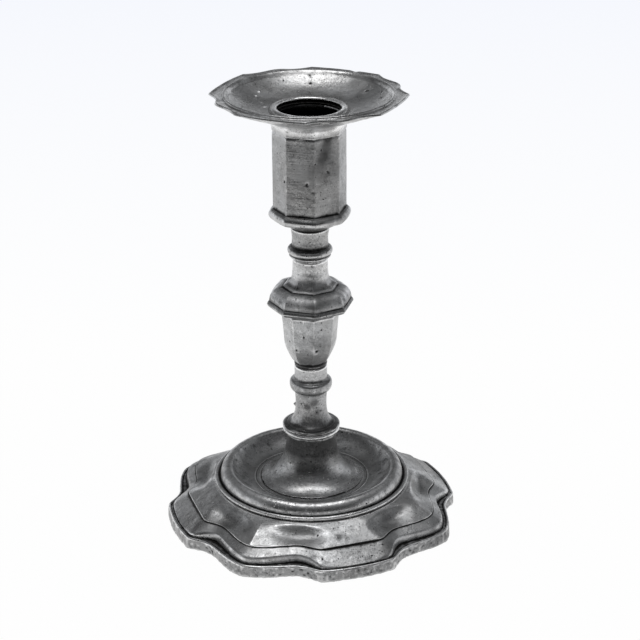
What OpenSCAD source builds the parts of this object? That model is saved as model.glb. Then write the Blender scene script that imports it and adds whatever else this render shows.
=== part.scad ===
// A small cast pewter candlestick: a scalloped stepped foot, a round well, a turned and
// octagonal stem, an octagonal candle socket and a scalloped drip pan.
// Millimetres. The origin is the middle of the foot's resting plane, +Z is up, and the
// front of the object faces -Y. Every casting is hollow and is soldered to the next one.

/* [Foot] */
// Height of the seat that carries the well dish
foot_h = 14; // [12.5:0.1:18]
// Radius of the foot's bottom edge on the flat lobes
foot_r = 53.2; // [50:0.1:60]
// How far the valleys lie inside the flat lobes
valley_depth = 3.8; // [2:0.1:5]
// How far the round lobes reach beyond the flat lobes
round_rise = 1.7; // [0.5:0.1:3]
// How far the middle of a flat lobe dips at the edge band
flat_dip = 0.3; // [0:0.1:2]
// How far the middle of a flat lobe dips at the step
step_flat_dip = 1.6; // [0:0.1:2.5]
// Half the angle of a flat lobe
corner_phi = 15; // [12.5:2.5:17.5]
// Angle from a flat lobe's middle to the valley
valley_phi = 25; // [22.5:2.5:30]
// Turn of the flat lobes from the front towards the viewer's right
lobe_turn = 18.5; // [0:0.5:45]
// Height of the rough upright edge band
band_h = 4; // [2.5:0.1:5]
// Width of the worn lip on top of the edge band
lip_w = 0.6; // [0.4:0.1:0.8]
// Depth of the groove between the lip and the ledge
groove_d = 0.7; // [0.2:0.1:1]
// How far the ledge's edge lies inside the edge band on the flat lobes
ledge_in_flat = 1.2; // [1:0.1:2]
// How far the ledge's edge lies inside the edge band at the valleys
ledge_in_valley = 2.8; // [1:0.1:3.5]
// How far the ledge's edge lies inside the edge band on the round lobes
ledge_in_round = 1.5; // [1:0.1:2.5]
// Width of the sloping ledge on the flat lobes
ledge_w_flat = 5.6; // [4:0.1:6.5]
// Width of the sloping ledge at the valleys
ledge_w_valley = 3.2; // [2.5:0.1:5]
// Width of the sloping ledge on the round lobes
ledge_w_round = 4.6; // [2.5:0.1:5.5]
// Height of the ledge over the lip
ledge_h = 4.5; // [4.3:0.1:6]
// Fall of the ledge's straight inner part, per millimetre
ledge_fall = 0.64; // [0.4:0.02:0.66]
// Share of the ledge's width that falls straight
ledge_straight = 0.58; // [0.4:0.02:0.8]
// Height of the small step above the ledge
step_h = 0.4; // [0.2:0.1:0.8]
// Rise of the scoop above each valley, per millimetre at its mouth
scoop_slope = 0.25; // [0.1:0.05:0.6]
// How much steeper the scoop gets towards its back wall
scoop_curve = 0.0125; // [0.0075:0.0025:0.03]
// How much the scoop rises towards its sides
scoop_sides = 0.035; // [0.02:0.005:0.06]
// Fall of the round shoulder outside the seat, per millimetre
shoulder_fall = 0.25; // [0.1:0.05:0.4]
// Wall of the foot casting
foot_wall = 2; // [1.5:0.1:2.4]

/* [Well dish] */
// Radius of the thin bead on the dish's rim, to its middle
bead_r = 35; // [34:0.1:37]
// Half the width of the thin bead
bead_w = 0.75; // [0.5:0.05:1]
// How far the spigot that locates the dish in the foot lies inside the bead
dish_spigot_in = 2; // [1.6:0.1:3]
// Height of that spigot
dish_spigot_h = 2; // [1:0.1:3]
// Distance from the bead to the roll's outer edge
roll_gap = 1.4; // [1.1:0.1:1.8]
// Distance from the roll's outer edge to its crest
roll_w = 3.1; // [2.4:0.1:4]
// Height of the roll's crest over the foot's seat
roll_h = 5.1; // [3:0.1:7]
// Distance from the roll's crest to the ring line at the bottom of the well
well_w = 9.9; // [8:0.1:12]
// Thickness of the dish
dish_wall = 1.9; // [1.5:0.1:2.5]

/* [Pedestal] */
// Distance from the ring line to the pedestal's foot
ring_gap = 1.4; // [1:0.1:3]
// Radius of the pedestal's top
pedestal_top_r = 8.9; // [8:0.1:9.5]
// Height of the pedestal to the under edge of its thin bead
pedestal_h = 18.6; // [15:0.1:24]
// Power of the pedestal's hollow curve
pedestal_bow = 2.3; // [2:0.1:3]
// Height of the thin bead at the pedestal's top
collar_bead_h = 1.8; // [1:0.1:2.5]
// Width of the ledge by which the pedestal stands on the dish
pedestal_ledge = 4.2; // [3:0.1:5]
// Wall of the pedestal at its foot
pedestal_wall = 2; // [1.5:0.1:3]

/* [Lower stem] */
// Radius of the collar
collar_r = 10.4; // [9.5:0.1:11.5]
// Height of the collar
collar_h = 1.2; // [0.9:0.1:2.5]
// Height of the spool from the collar to the ring
spool_h = 13.4; // [9:0.1:18]
// Waist radius of the spool
spool_r = 5.6; // [5:0.1:6]
// How far the spool's foot lies inside the collar
spool_foot_in = 1.6; // [0.8:0.1:2]
// Radius of the ring above the spool
ring_r = 7.7; // [7:0.1:9]
// Height of the ring above the spool
ring_h = 4; // [3:0.1:5]
// Radius of the drum above the ring
drum_r = 5.9; // [5.6:0.1:6.3]
// Height of the drum
drum_h = 5.4; // [4:0.1:8]

/* [Baluster] */
// Corner radius at the bottom of the baluster
baluster_foot_r = 6.4; // [6:0.1:7]
// Corner radius where the swelling ends
baluster_mid_r = 9.5; // [8.5:0.1:9.8]
// Corner radius at the top
baluster_top_r = 10.6; // [10:0.1:10.8]
// Height of the swelling
baluster_swell_h = 9; // [7:0.1:12]
// Height of the baluster
baluster_h = 21.2; // [17:0.1:28]

/* [Knop] */
// Corner radius of the knop's rim
knop_r = 15.6; // [14.5:0.1:17]
// Corner radius of the lip under the knop
knop_lip_r = 10.9; // [10.2:0.1:11.5]
// Height of the lip and the hollow above it
knop_under_h = 0.9; // [0.8:0.1:2]
// Height of the rim
knop_rim_h = 2.6; // [2:0.1:3.5]
// Height of the rounded shoulder
shoulder_h = 5.5; // [4:0.1:8]
// Corner radius at the top of the shoulder
shoulder_top_r = 10.8; // [10.3:0.1:12]
// Corner radius of the upper tier
tier_r = 9.8; // [8.8:0.1:10.2]
// Height of the hollow upper tier
tier_h = 5.3; // [3:0.1:6]
// Radius of the round neck above the knop
knop_neck_r = 6.15; // [5.7:0.05:6.5]
// Height of the round neck above the knop
knop_neck_h = 5.3; // [4:0.1:8]

/* [Upper neck] */
// Radius of the ring
neck_ring_r = 8; // [7.4:0.1:9]
// Height of the ring
neck_ring_h = 4.3; // [3:0.1:5.5]
// Waist radius of the neck
neck_r = 6.35; // [5.9:0.05:6.8]
// Height of the neck above its ring
neck_h = 6.8; // [5:0.1:10]

/* [Candle socket] */
// Radius of the bore for the candle
candle_bore_r = 11; // [10:0.1:12]
// Depth of the bore below the pan's lip
candle_bore_depth = 34.5; // [28:0.5:38]
// Wall of the socket at the middle of its flat sides
socket_wall = 0.96; // [0.9:0.02:2]
// Height of the socket from its under edge to the pan
socket_h = 35; // [33:0.5:45]
// How far the roll round the socket's base stands out from the corners
socket_roll_out = 1.65; // [1:0.05:2.5]
// Height of the hollow under the roll
socket_under_h = 3.0; // [2.5:0.1:5]
// Height of the roll
socket_roll_h = 4.0; // [2.6:0.1:5]
// How far the round tenon that carries the pan lies inside the flat sides
tenon_in = 0.06; // [0.02:0.02:0.2]
// Turn of the octagon's corners from the front towards the viewer's right
octagon_turn = 7; // [0:0.5:45]

/* [Drip pan] */
// Width of the flange from the bead to the points of its edge
flange_w = 5.2; // [4.4:0.1:8]
// Depth of the narrow valley beside each point
pan_valley = 2.3; // [1:0.1:3]
// Depth of the small lobe below the points
pan_lobe = 0.9; // [0.4:0.1:1.5]
// Depth of the second valley
pan_second_valley = 1.9; // [1:0.1:2.6]
// Depth of the broad hollow between two points
pan_scallop = 1.5; // [0.5:0.1:2.5]
// Turn of the pan's points from the front towards the viewer's left
pan_turn = 1.5; // [0:0.5:45]
// Height of the pan from its under edge to the flange's edge
pan_h = 12.7; // [9:0.1:14]
// Radius of the bead between the dish and the flange
pan_bead_r = 29.1; // [25:0.1:34]
// Half the width of that bead
pan_bead_w = 0.5; // [0.3:0.1:0.7]
// Height of that bead over the flange's edge
pan_bead_h = 0.3; // [0.1:0.1:1.5]
// Thickness of the flange's edge
flange_t = 0.8; // [0.6:0.1:1.6]
// How far the flange dips between the bead and its edge
flange_dip = 0.3; // [0.1:0.1:0.6]
// Height of the cone under the pan at the socket's corners
pan_cone_h = 1.6; // [0.8:0.1:2.4]
// Height of the dish's floor over the pan's under edge
pan_floor_h = 6.8; // [5.5:0.1:7.5]
// Slope of the dish at its rim
dish_rim_slope = 40; // [25:1:45]
// Width of the raised lip round the candle's hole
pan_lip_w = 2.5; // [2:0.1:3]
// Height of the raised lip over the dish's floor
pan_lip_h = 1.3; // [1:0.1:3]
// Thickness of the lip over the socket's tenon
lip_t = 1.8; // [0.8:0.1:2]

/* [Joints between the castings] */
// Thickness of the solder between two castings
solder_t = 0.3; // [0.2:0.05:0.5]
// How far the solder stays behind the outside
solder_inset = 0.5; // [0.2:0.1:0.8]
// Clearance round a spigot
fit = 0.1; // [0.05:0.01:0.2]
// Radius of the small spigots in the stem
spigot_r = 4.4; // [4:0.1:4.7]
// Height of the small spigots
spigot_h = 3; // [2:0.1:3.5]
// Radius of the hole down a turned stem piece
stem_hole_r = 2.6; // [1.5:0.1:3]

/* [Hidden] */

// Heights at which the castings start, each one solder joint above the last
dish_z = foot_h + solder_t;
pedestal_z = dish_z + solder_t;
stem_z = pedestal_z + pedestal_h + collar_bead_h + solder_t;
baluster_z = stem_z + collar_h + spool_h + ring_h + drum_h + solder_t;
knop_z = baluster_z + baluster_h + solder_t;
neck_z = knop_z + knop_under_h + knop_rim_h + shoulder_h + tier_h + knop_neck_h + solder_t;
socket_z = neck_z + neck_ring_h + neck_h + solder_t;
pan_z = socket_z + socket_h;
lip_z = pan_z + pan_floor_h + pan_lip_h;

// Radius to the middle of an octagon's side over the radius to its corner
flat_side = cos(22.5);

// Radii that follow from one another, from the outside inwards
seat_r = bead_r + bead_w + 0.2;
dish_spigot_r = bead_r - dish_spigot_in;
foot_bore_r = dish_spigot_r + fit;
roll_out_r = bead_r - roll_gap;
roll_r = roll_out_r - roll_w;
ring_line_r = roll_r - well_w;
pedestal_r = ring_line_r - ring_gap;
pedestal_spigot_r = pedestal_r - pedestal_ledge;
pedestal_hole_r = pedestal_spigot_r + fit;
recess_r = spigot_r + fit;
recess_h = spigot_h + fit;
socket_foot_r = neck_r + 0.55;
socket_r = (candle_bore_r + socket_wall) / flat_side;
socket_roll_r = socket_r + socket_roll_out;
tenon_r = candle_bore_r + socket_wall - tenon_in;
tenon_top = lip_z - lip_t - solder_t;
pan_r = pan_bead_r + flange_w;
pan_lip_r = candle_bore_r + fit + pan_lip_w;
lip_round = min(pan_lip_w, pan_lip_h) * 0.8;
// The dish of the pan is an arc that is level beside the lip and ends under the bead
dish_floor_r = pan_lip_r + 0.6;
dish_round = (pan_bead_r - 0.8 - dish_floor_r) / sin(dish_rim_slope);

ring_steps = 144;
curve_steps = 8;
$fn = 96;

function polar(r, a, z) = [r * cos(a), r * sin(a), z];

// Points of a quarter of an ellipse from p to q. It leaves p upright when steep_first is
// true, and level when it is false.
function quarter(p, q, steep_first = true, n = curve_steps) = [
    for (i = [0:n])
        let (a = 90 * i / n)
            steep_first
                ? [q[0] + (p[0] - q[0]) * cos(a), p[1] + (q[1] - p[1]) * sin(a)]
                : [p[0] + (q[0] - p[0]) * sin(a), q[1] + (p[1] - q[1]) * cos(a)]
];

// Points of an arc about c
function arc(c, r, a0, a1, n = curve_steps) = [
    for (i = [0:n])
        let (a = a0 + (a1 - a0) * i / n)
            [c[0] + r * cos(a), c[1] + r * sin(a)]
];

// A ring whose cross-section changes with the angle. Every section is a closed outline
// of radius and height with the same number of points.
module changing_ring(sections, start) {
    n = len(sections);
    m = len(sections[0]);
    polyhedron(
        points = [
            for (i = [0:n - 1], p = sections[i])
                polar(p[0], start + 360 * i / n, p[1])
        ],
        faces = [
            for (i = [0:n - 1], j = [0:m - 1])
                let (a = i * m, b = ((i + 1) % n) * m, k = (j + 1) % m)
                    each [[a + j, a + k, b + k], [a + j, b + k, b + j]]
        ],
        convexity = 8
    );
}

// A solid of eight flat sides whose corner radius follows a list of [radius, height]
module octagon_solid(levels) {
    m = len(levels);
    polyhedron(
        points = [
            for (p = levels, i = [0:7])
                polar(p[0], octagon_turn - 90 + 45 * i, p[1])
        ],
        faces = [
            [for (i = [0:7]) i],
            for (j = [0:m - 2], i = [0:7])
                let (a = j * 8 + i, b = j * 8 + (i + 1) % 8)
                    [a, a + 8, b + 8, b],
            [for (i = [0:7]) m * 8 - 1 - i]
        ],
        convexity = 4
    );
}

module solder(z, r_in, r_out) {
    color("dimgray")
        translate([0, 0, z])
            difference() {
                cylinder(r = r_out, h = solder_t);
                translate([0, 0, -1])
                    cylinder(r = r_in, h = solder_t + 2);
            }
}

// Angle from the nearest flat lobe's middle, 0 to 45
function lobe_phi(a) = let (m = a - 90 * floor(a / 90)) m > 45 ? 90 - m : m;

// Outline of the foot at one level: flat lobe, steep corner, valley, round lobe
function foot_outline(phi, flat, dip, valley, peak) =
    phi <= corner_phi ? flat - dip * (1 - pow(phi / corner_phi, 2)) :
    phi <= valley_phi ?
        valley + (flat - valley) * pow((valley_phi - phi) / (valley_phi - corner_phi), 2) :
    let (t = (phi - valley_phi) / (45 - valley_phi))
        valley + (peak - valley) * (t + (1 - cos(180 * t)) / 2) / 2;

base_flat = foot_r;
base_valley = foot_r - valley_depth;
base_round = foot_r + round_rise;
ledge_flat = base_flat - ledge_in_flat;
ledge_valley = base_valley - ledge_in_valley;
ledge_round = base_round - ledge_in_round;
step_flat = ledge_flat - ledge_w_flat;
step_valley = ledge_valley - ledge_w_valley;
step_round = ledge_round - ledge_w_round;
step_z = band_h + ledge_h;
slope_z = step_z + step_h;
slope_h = foot_h - slope_z;

// The side between a flat lobe's corner and a round lobe's middle: where it starts, its
// direction, and its distance from the axis
side_start = [step_flat * cos(corner_phi), step_flat * sin(corner_phi)];
side_run = [step_round * cos(45), step_round * sin(45)] - side_start;
side_phi = atan2(-side_run[0], side_run[1]);
side_r = side_start[0] * cos(side_phi) + side_start[1] * sin(side_phi);

// Rise of a sloping plane whose lower edge lies at the distance edge_r in the direction dir
function plane_rise(phi, r, dir, edge_r) =
    slope_h * (edge_r - r * cos(phi - dir)) / (edge_r - seat_r);

// Rise of the upper slope: the planes of the flat lobes and of the sides between them,
// the round shoulder outside the seat, and the scoop above the valley
function slope_rise(phi, r, edge) =
    let (
        d = max(0, step_valley - r * cos(phi - valley_phi)),
        t = r * sin(phi - valley_phi)
    )
        edge - r < 0.01 ? 0 : max(0, min(
            plane_rise(phi, r, 0, step_flat * cos(corner_phi)),
            plane_rise(phi, r, side_phi, side_r),
            slope_h - shoulder_fall * (r - seat_r),
            scoop_slope * d + scoop_curve * pow(d, 3) + scoop_sides * t * t
        ));

function foot_section(phi) =
    let (
        base = foot_outline(phi, base_flat, flat_dip, base_valley, base_round),
        ledge = foot_outline(phi, ledge_flat, step_flat_dip, ledge_valley, ledge_round),
        step = foot_outline(phi, step_flat, step_flat_dip, step_valley, step_round),
        lip = base - 0.1,
        groove_z = band_h - groove_d,
        turn_w = (ledge - step) * ledge_straight,
        turn_z = step_z - turn_w * ledge_fall,
        slope = [
            for (i = [0:8])
                let (r = step + (seat_r - step) * i / 8)
                    [r, slope_z + slope_rise(phi, r, step)]
        ]
    )
    [
        [base, 0],
        [lip, band_h - 0.6],
        [lip - lip_w * 0.5, band_h - 0.1],
        [lip - lip_w, band_h],
        [max(ledge + 0.1, lip - lip_w - 0.4), groove_z],
        [ledge, groove_z],
        each quarter([ledge, band_h + 0.1], [step + turn_w, turn_z], true, 4),
        [step, step_z],
        each slope,
        [dish_spigot_r - 1, foot_h],
        [dish_spigot_r - 1, foot_h - foot_wall],
        [seat_r - 2, foot_h - foot_wall - 0.2],
        [seat_r + (step - seat_r) / 2 - 1, foot_h - foot_wall - 2.6],
        [step - foot_wall - 0.5, step_z - foot_wall - 0.4],
        [ledge - foot_wall - 0.6, band_h],
        [base - foot_wall - 0.6, 0]
    ];

module foot() {
    color("silver")
        difference() {
            changing_ring(
                [for (i = [0:ring_steps - 1]) foot_section(lobe_phi(360 * i / ring_steps))],
                lobe_turn - 90
            );
            translate([0, 0, foot_h - foot_wall - 3])
                cylinder(r = foot_bore_r, h = foot_wall + 6);
        }
}

module well_dish() {
    bead_z = dish_z + bead_w;
    crest_z = dish_z + roll_h;
    under_z = dish_z - dish_spigot_h;
    crest_round = 0.6;
    color("silver")
        rotate_extrude()
            polygon([
                [pedestal_hole_r, dish_z - dish_wall],
                [ring_line_r + 0.5, dish_z - dish_wall],
                each quarter([ring_line_r + 2, dish_z - dish_wall],
                             [roll_r - 1.5, crest_z - dish_wall], false),
                [roll_r + 0.8, crest_z - dish_wall],
                [dish_spigot_r - dish_wall, dish_z],
                [dish_spigot_r - dish_wall, under_z],
                [dish_spigot_r, under_z],
                [dish_spigot_r, dish_z],
                each arc([bead_r, bead_z], bead_w, -90, 150),
                [roll_out_r + 0.3, bead_z],
                each quarter([roll_out_r, bead_z + 0.3], [roll_r, crest_z]),
                each arc([roll_r - crest_round, crest_z - crest_round], crest_round, 90, 150, 3),
                each quarter([roll_r - 1.4, crest_z - 1.2], [ring_line_r + 0.6, dish_z]),
                [ring_line_r, dish_z - 0.25],
                [ring_line_r - 0.5, dish_z],
                [pedestal_hole_r, dish_z]
            ]);
}

// Hollow curve of the pedestal, from radius foot at its bottom to radius top at height h
function pedestal_curve(foot, top, h, n) = [
    for (i = [0:n])
        let (s = 1 - pow(i / n, 1.6))
            [top + (foot - top) * (1 - sqrt(1 - pow(s, pedestal_bow))), pedestal_z + h * (1 - s)]
];

// The socket in a stem casting's under side for the spigot of the casting below
module recess(z) {
    translate([0, 0, z - 1])
        cylinder(r = recess_r, h = recess_h + 1);
}

// The spigot on top of a stem casting
module spigot(z) {
    translate([0, 0, z - 1])
        cylinder(r = spigot_r, h = spigot_h + 1);
}

// The hole down a stem casting between two heights
module stem_hole(z0, z1) {
    translate([0, 0, z0 - 1])
        cylinder(r = stem_hole_r, h = z1 - z0 + 2);
}

// A turned solid whose outside follows a list of points from the bottom to the top
module turned(outside) {
    rotate_extrude()
        polygon([
            [0, outside[0][1]],
            each outside,
            [0, outside[len(outside) - 1][1]]
        ]);
}

module pedestal() {
    top_z = pedestal_z + pedestal_h + collar_bead_h;
    inside_foot = pedestal_spigot_r - pedestal_wall;
    inside_h = pedestal_h * 0.8;
    bead_edge = collar_r - 0.05;
    inside = pedestal_curve(inside_foot, recess_r, inside_h, 12);
    color("silver")
        difference() {
            union() {
                turned([
                    [pedestal_spigot_r, pedestal_z - dish_wall],
                    [pedestal_spigot_r, pedestal_z],
                    each pedestal_curve(pedestal_r, pedestal_top_r, pedestal_h, 16),
                    each arc([bead_edge - collar_bead_h / 2, pedestal_z + pedestal_h + collar_bead_h / 2],
                             collar_bead_h / 2, -70, 70, 6),
                    [bead_edge - collar_bead_h / 2, top_z]
                ]);
                spigot(top_z);
            }
            turned([
                [inside_foot, pedestal_z - dish_wall - 1],
                each inside,
                [stem_hole_r, pedestal_z + inside_h + 1]
            ]);
            stem_hole(pedestal_z + inside_h, top_z + spigot_h);
        }
}

module lower_stem() {
    spool_z = stem_z + collar_h;
    waist_z = spool_z + spool_h * 0.56;
    ring_z = spool_z + spool_h;
    drum_z = ring_z + ring_h;
    top_z = drum_z + drum_h;
    spool_foot = collar_r - spool_foot_in;
    color("silver")
        difference() {
            union() {
                turned([
                    [collar_r - 0.3, stem_z],
                    [collar_r, stem_z + 0.2],
                    each quarter([collar_r, stem_z + 0.3], [spool_foot, spool_z]),
                    each quarter([spool_foot, spool_z], [spool_r, waist_z], false),
                    each quarter([spool_r, waist_z + 0.5], [spool_r + 1.1, ring_z]),
                    each quarter([spool_r + 1.3, ring_z], [ring_r, ring_z + ring_h * 0.55], false),
                    each quarter([ring_r, ring_z + ring_h * 0.62], [drum_r + 0.6, drum_z]),
                    [drum_r, drum_z + 0.7],
                    [drum_r, top_z]
                ]);
                spigot(top_z);
            }
            recess(stem_z);
            stem_hole(stem_z, top_z + spigot_h);
        }
}

module baluster() {
    top_z = baluster_z + baluster_h;
    upper_h = baluster_h - baluster_swell_h;
    color("silver")
        difference() {
            union() {
                octagon_solid([
                    for (i = [0:6])
                        let (t = i / 6)
                            [baluster_foot_r + (baluster_mid_r - baluster_foot_r) * (t + sin(90 * t)) / 2,
                             baluster_z + baluster_swell_h * t],
                    for (i = [1:5])
                        let (t = i / 5)
                            [baluster_mid_r + (baluster_top_r - baluster_mid_r) * pow(t, 1.3),
                             baluster_z + baluster_swell_h + upper_h * t]
                ]);
                spigot(top_z);
            }
            recess(baluster_z);
            stem_hole(baluster_z, top_z + spigot_h);
        }
}

module knop() {
    rim_z = knop_z + knop_under_h;
    shoulder_z = rim_z + knop_rim_h;
    tier_z = shoulder_z + shoulder_h;
    round_z = tier_z + tier_h;
    top_z = round_z + knop_neck_h;
    color("silver")
        difference() {
            union() {
                octagon_solid([
                    [knop_lip_r - 0.2, knop_z],
                    [knop_lip_r, knop_z + 0.2],
                    [knop_lip_r - 0.1, knop_z + 0.4],
                    each quarter([knop_lip_r, rim_z - 0.3], [knop_r - 0.3, rim_z + knop_rim_h * 0.45], false),
                    [knop_r, rim_z + knop_rim_h * 0.6],
                    [knop_r - 0.3, shoulder_z],
                    each quarter([knop_r - 0.7, shoulder_z + 0.1], [shoulder_top_r, tier_z - 0.3]),
                    [tier_r, tier_z],
                    each quarter([tier_r - 0.1, tier_z + 0.4], [knop_neck_r + 0.2, round_z], false)
                ]);
                translate([0, 0, tier_z])
                    cylinder(r = knop_neck_r, h = top_z - tier_z);
                spigot(top_z);
            }
            recess(knop_z);
            stem_hole(knop_z, top_z + spigot_h);
        }
}

module upper_neck() {
    ring_top = neck_z + neck_ring_h;
    top_z = ring_top + neck_h;
    color("silver")
        difference() {
            union() {
                turned([
                    [neck_ring_r - 0.8, neck_z],
                    [neck_ring_r - 0.6, neck_z + 1.1],
                    [neck_ring_r - 0.4, neck_z + 1.3],
                    each arc([neck_ring_r - 1.2, neck_z + neck_ring_h * 0.58], 1.2, -50, 60, 6),
                    [neck_r + 0.4, ring_top],
                    [neck_r, ring_top + neck_h * 0.4],
                    [neck_r + 0.1, ring_top + neck_h * 0.6],
                    [neck_r + 0.55, top_z]
                ]);
                spigot(top_z);
            }
            recess(neck_z);
            stem_hole(neck_z, top_z + spigot_h);
        }
}

// An octagonal prism with the corner radius r
module octagon_prism(r, z0, z1) {
    translate([0, 0, z0])
        rotate([0, 0, octagon_turn])
            cylinder(r = r, h = z1 - z0, $fn = 8);
}

module candle_socket() {
    roll_z = socket_z + socket_under_h;
    wall_z = roll_z + socket_roll_h;
    floor_z = lip_z - candle_bore_depth;
    color("silver")
        difference() {
            union() {
                intersection() {
                    turned([
                        [socket_foot_r, socket_z],
                        [socket_roll_r - socket_roll_h / 2 - 0.3, roll_z - 0.1],
                        each arc([socket_roll_r - socket_roll_h / 2, roll_z + socket_roll_h / 2],
                                 socket_roll_h / 2, -75, 75, 8),
                        [socket_r * flat_side - 1, wall_z]
                    ]);
                    octagon_prism(socket_roll_r * 1.045, socket_z - 1, wall_z + 1);
                }
                octagon_prism(socket_r, roll_z + 1, pan_z);
                translate([0, 0, pan_z - 1])
                    cylinder(r = tenon_r, h = tenon_top - pan_z + 1);
            }
            recess(socket_z);
            translate([0, 0, floor_z])
                cylinder(r = candle_bore_r, h = tenon_top - floor_z + 1);
        }
}

// Outline of the pan's edge: psi runs from one point, 0, past the next, 45, to 90
function pan_outline(psi) =
    let (
        valley = pan_r - pan_valley,
        lobe = pan_r - pan_lobe,
        second = pan_r - pan_second_valley,
        hollow = pan_r - pan_scallop
    )
    psi < 12 ? valley + pan_valley * pow((12 - psi) / 12, 2) :
    psi < 22 ? valley + (lobe - valley) * (1 - cos(18 * (psi - 12))) / 2 :
    psi < 35 ? second + (lobe - second) * (1 + cos(180 * (psi - 22) / 13)) / 2 :
    psi < 45 ? second + pan_second_valley * pow((psi - 35) / 10, 2) :
    hollow + pan_scallop * pow(abs(psi - 67.5) / 22.5, 2);

function pan_section(psi) =
    let (
        edge = pan_outline(psi),
        edge_z = pan_z + pan_h,
        floor_z = pan_z + pan_floor_h,
        bead_z = edge_z + pan_bead_h - pan_bead_w,
        hole = candle_bore_r - 1
    )
    [
        [hole, pan_z],
        [socket_r + 0.1, pan_z],
        [socket_r + 0.4, pan_z + pan_cone_h * 0.5],
        [socket_r + 1.3, pan_z + pan_cone_h + 0.8],
        [pan_bead_r + 1.6, edge_z - 2],
        [edge - 0.6, edge_z - flange_t - 0.15],
        [edge, edge_z - flange_t + 0.1],
        [edge - 0.25, edge_z - 0.15],
        [edge - 0.5, edge_z],
        [edge - 0.9, edge_z - flange_dip * 0.2],
        [edge - 1.3, edge_z - flange_dip * 0.8],
        [pan_bead_r + 1.1, edge_z - flange_dip],
        [pan_bead_r + pan_bead_w, edge_z - flange_dip - 0.15],
        each arc([pan_bead_r, bead_z], pan_bead_w, 10, 150, 4),
        each arc(
            [dish_floor_r, floor_z + dish_round],
            dish_round,
            dish_rim_slope - 90,
            -90,
            8
        ),
        [pan_lip_r + 0.2, floor_z],
        [pan_lip_r, floor_z + 0.3],
        each arc([pan_lip_r - lip_round, lip_z - lip_round], lip_round, 10, 90, 4),
        [hole, lip_z]
    ];

module drip_pan() {
    hole_r = tenon_r + fit;
    color("silver")
        difference() {
            changing_ring(
                [
                    for (i = [0:ring_steps - 1])
                        let (a = 360 * i / ring_steps)
                            pan_section(a - 90 * floor(a / 90))
                ],
                -90 - pan_turn
            );
            translate([0, 0, pan_z - 1])
                cylinder(r = hole_r, h = lip_z - lip_t - pan_z + 1);
            translate([0, 0, pan_z])
                cylinder(r = candle_bore_r + fit, h = lip_z - pan_z + 1);
        }
}

module foot_solder() {
    solder(foot_h, foot_bore_r, bead_r);
}

module pedestal_solder() {
    solder(dish_z, pedestal_hole_r, pedestal_r - solder_inset);
}

module collar_solder() {
    solder(stem_z - solder_t, recess_r, collar_r - collar_bead_h / 2 - solder_inset);
}

module baluster_solder() {
    solder(baluster_z - solder_t, recess_r, min(drum_r, baluster_foot_r * flat_side) - solder_inset);
}

module knop_solder() {
    solder(knop_z - solder_t, recess_r, min(baluster_top_r, knop_lip_r) * flat_side - solder_inset);
}

module neck_solder() {
    solder(neck_z - solder_t, recess_r, knop_neck_r - solder_inset);
}

module socket_solder() {
    solder(socket_z - solder_t, recess_r, socket_foot_r - solder_inset);
}

module pan_solder() {
    solder(tenon_top, candle_bore_r + fit, tenon_r);
}

foot();
well_dish();
pedestal();
lower_stem();
baluster();
knop();
upper_neck();
candle_socket();
drip_pan();
foot_solder();
pedestal_solder();
collar_solder();
baluster_solder();
knop_solder();
neck_solder();
socket_solder();
pan_solder();
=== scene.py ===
import math

import bmesh
import bpy
import numpy as np
from mathutils import Matrix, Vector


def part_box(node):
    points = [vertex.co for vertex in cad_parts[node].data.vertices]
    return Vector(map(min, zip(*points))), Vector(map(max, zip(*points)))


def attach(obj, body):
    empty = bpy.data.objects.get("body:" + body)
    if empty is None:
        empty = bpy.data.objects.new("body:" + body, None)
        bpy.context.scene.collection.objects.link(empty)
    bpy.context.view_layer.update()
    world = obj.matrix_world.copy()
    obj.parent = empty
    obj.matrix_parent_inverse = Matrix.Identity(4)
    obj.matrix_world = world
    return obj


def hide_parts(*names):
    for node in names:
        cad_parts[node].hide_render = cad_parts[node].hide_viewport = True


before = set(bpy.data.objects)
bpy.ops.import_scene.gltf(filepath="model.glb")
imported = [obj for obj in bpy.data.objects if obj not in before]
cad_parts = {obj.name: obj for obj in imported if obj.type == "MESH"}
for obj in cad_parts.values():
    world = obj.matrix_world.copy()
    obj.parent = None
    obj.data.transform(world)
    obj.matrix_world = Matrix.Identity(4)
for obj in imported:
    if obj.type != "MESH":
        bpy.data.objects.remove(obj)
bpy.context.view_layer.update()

mm = 0.001


def topOf(node):
    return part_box(node)[1][2] / mm


def bottomOf(node):
    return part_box(node)[0][2] / mm


print("frame loaded")


# Curves in a plane of radius and height, in millimetres

def quarter(p, q, steepFirst=True, n=10):
    # a quarter of an ellipse, leaving p upright or level
    out = []
    for i in range(n + 1):
        a = math.pi / 2 * i / n
        if steepFirst:
            out.append((q[0] + (p[0] - q[0]) * math.cos(a), p[1] + (q[1] - p[1]) * math.sin(a)))
        else:
            out.append((p[0] + (q[0] - p[0]) * math.sin(a), q[1] + (p[1] - q[1]) * math.cos(a)))
    return out


def arc(centre, radius, fromDeg, toDeg, n=10):
    out = []
    for i in range(n + 1):
        a = math.radians(fromDeg + (toDeg - fromDeg) * i / n)
        out.append((centre[0] + radius * math.cos(a), centre[1] + radius * math.sin(a)))
    return out


def bend(p, corner, q, n=8):
    # a curve that leaves p towards the corner and comes into q from it
    out = []
    for i in range(n + 1):
        t = i / n
        out.append(tuple((1 - t) ** 2 * p[k] + 2 * t * (1 - t) * corner[k] + t * t * q[k] for k in range(2)))
    return out


def refine(points, spacing):
    # adds points along long edges and drops doubles, so the mesh is even
    out = [points[0]]
    for p in points[1:]:
        last = out[-1]
        length = math.hypot(p[0] - last[0], p[1] - last[1])
        if length < 1e-4:
            continue
        steps = max(1, round(length / spacing))
        for i in range(1, steps + 1):
            t = i / steps
            out.append(tuple(last[k] + (p[k] - last[k]) * t for k in range(len(p))))
    return out


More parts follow.
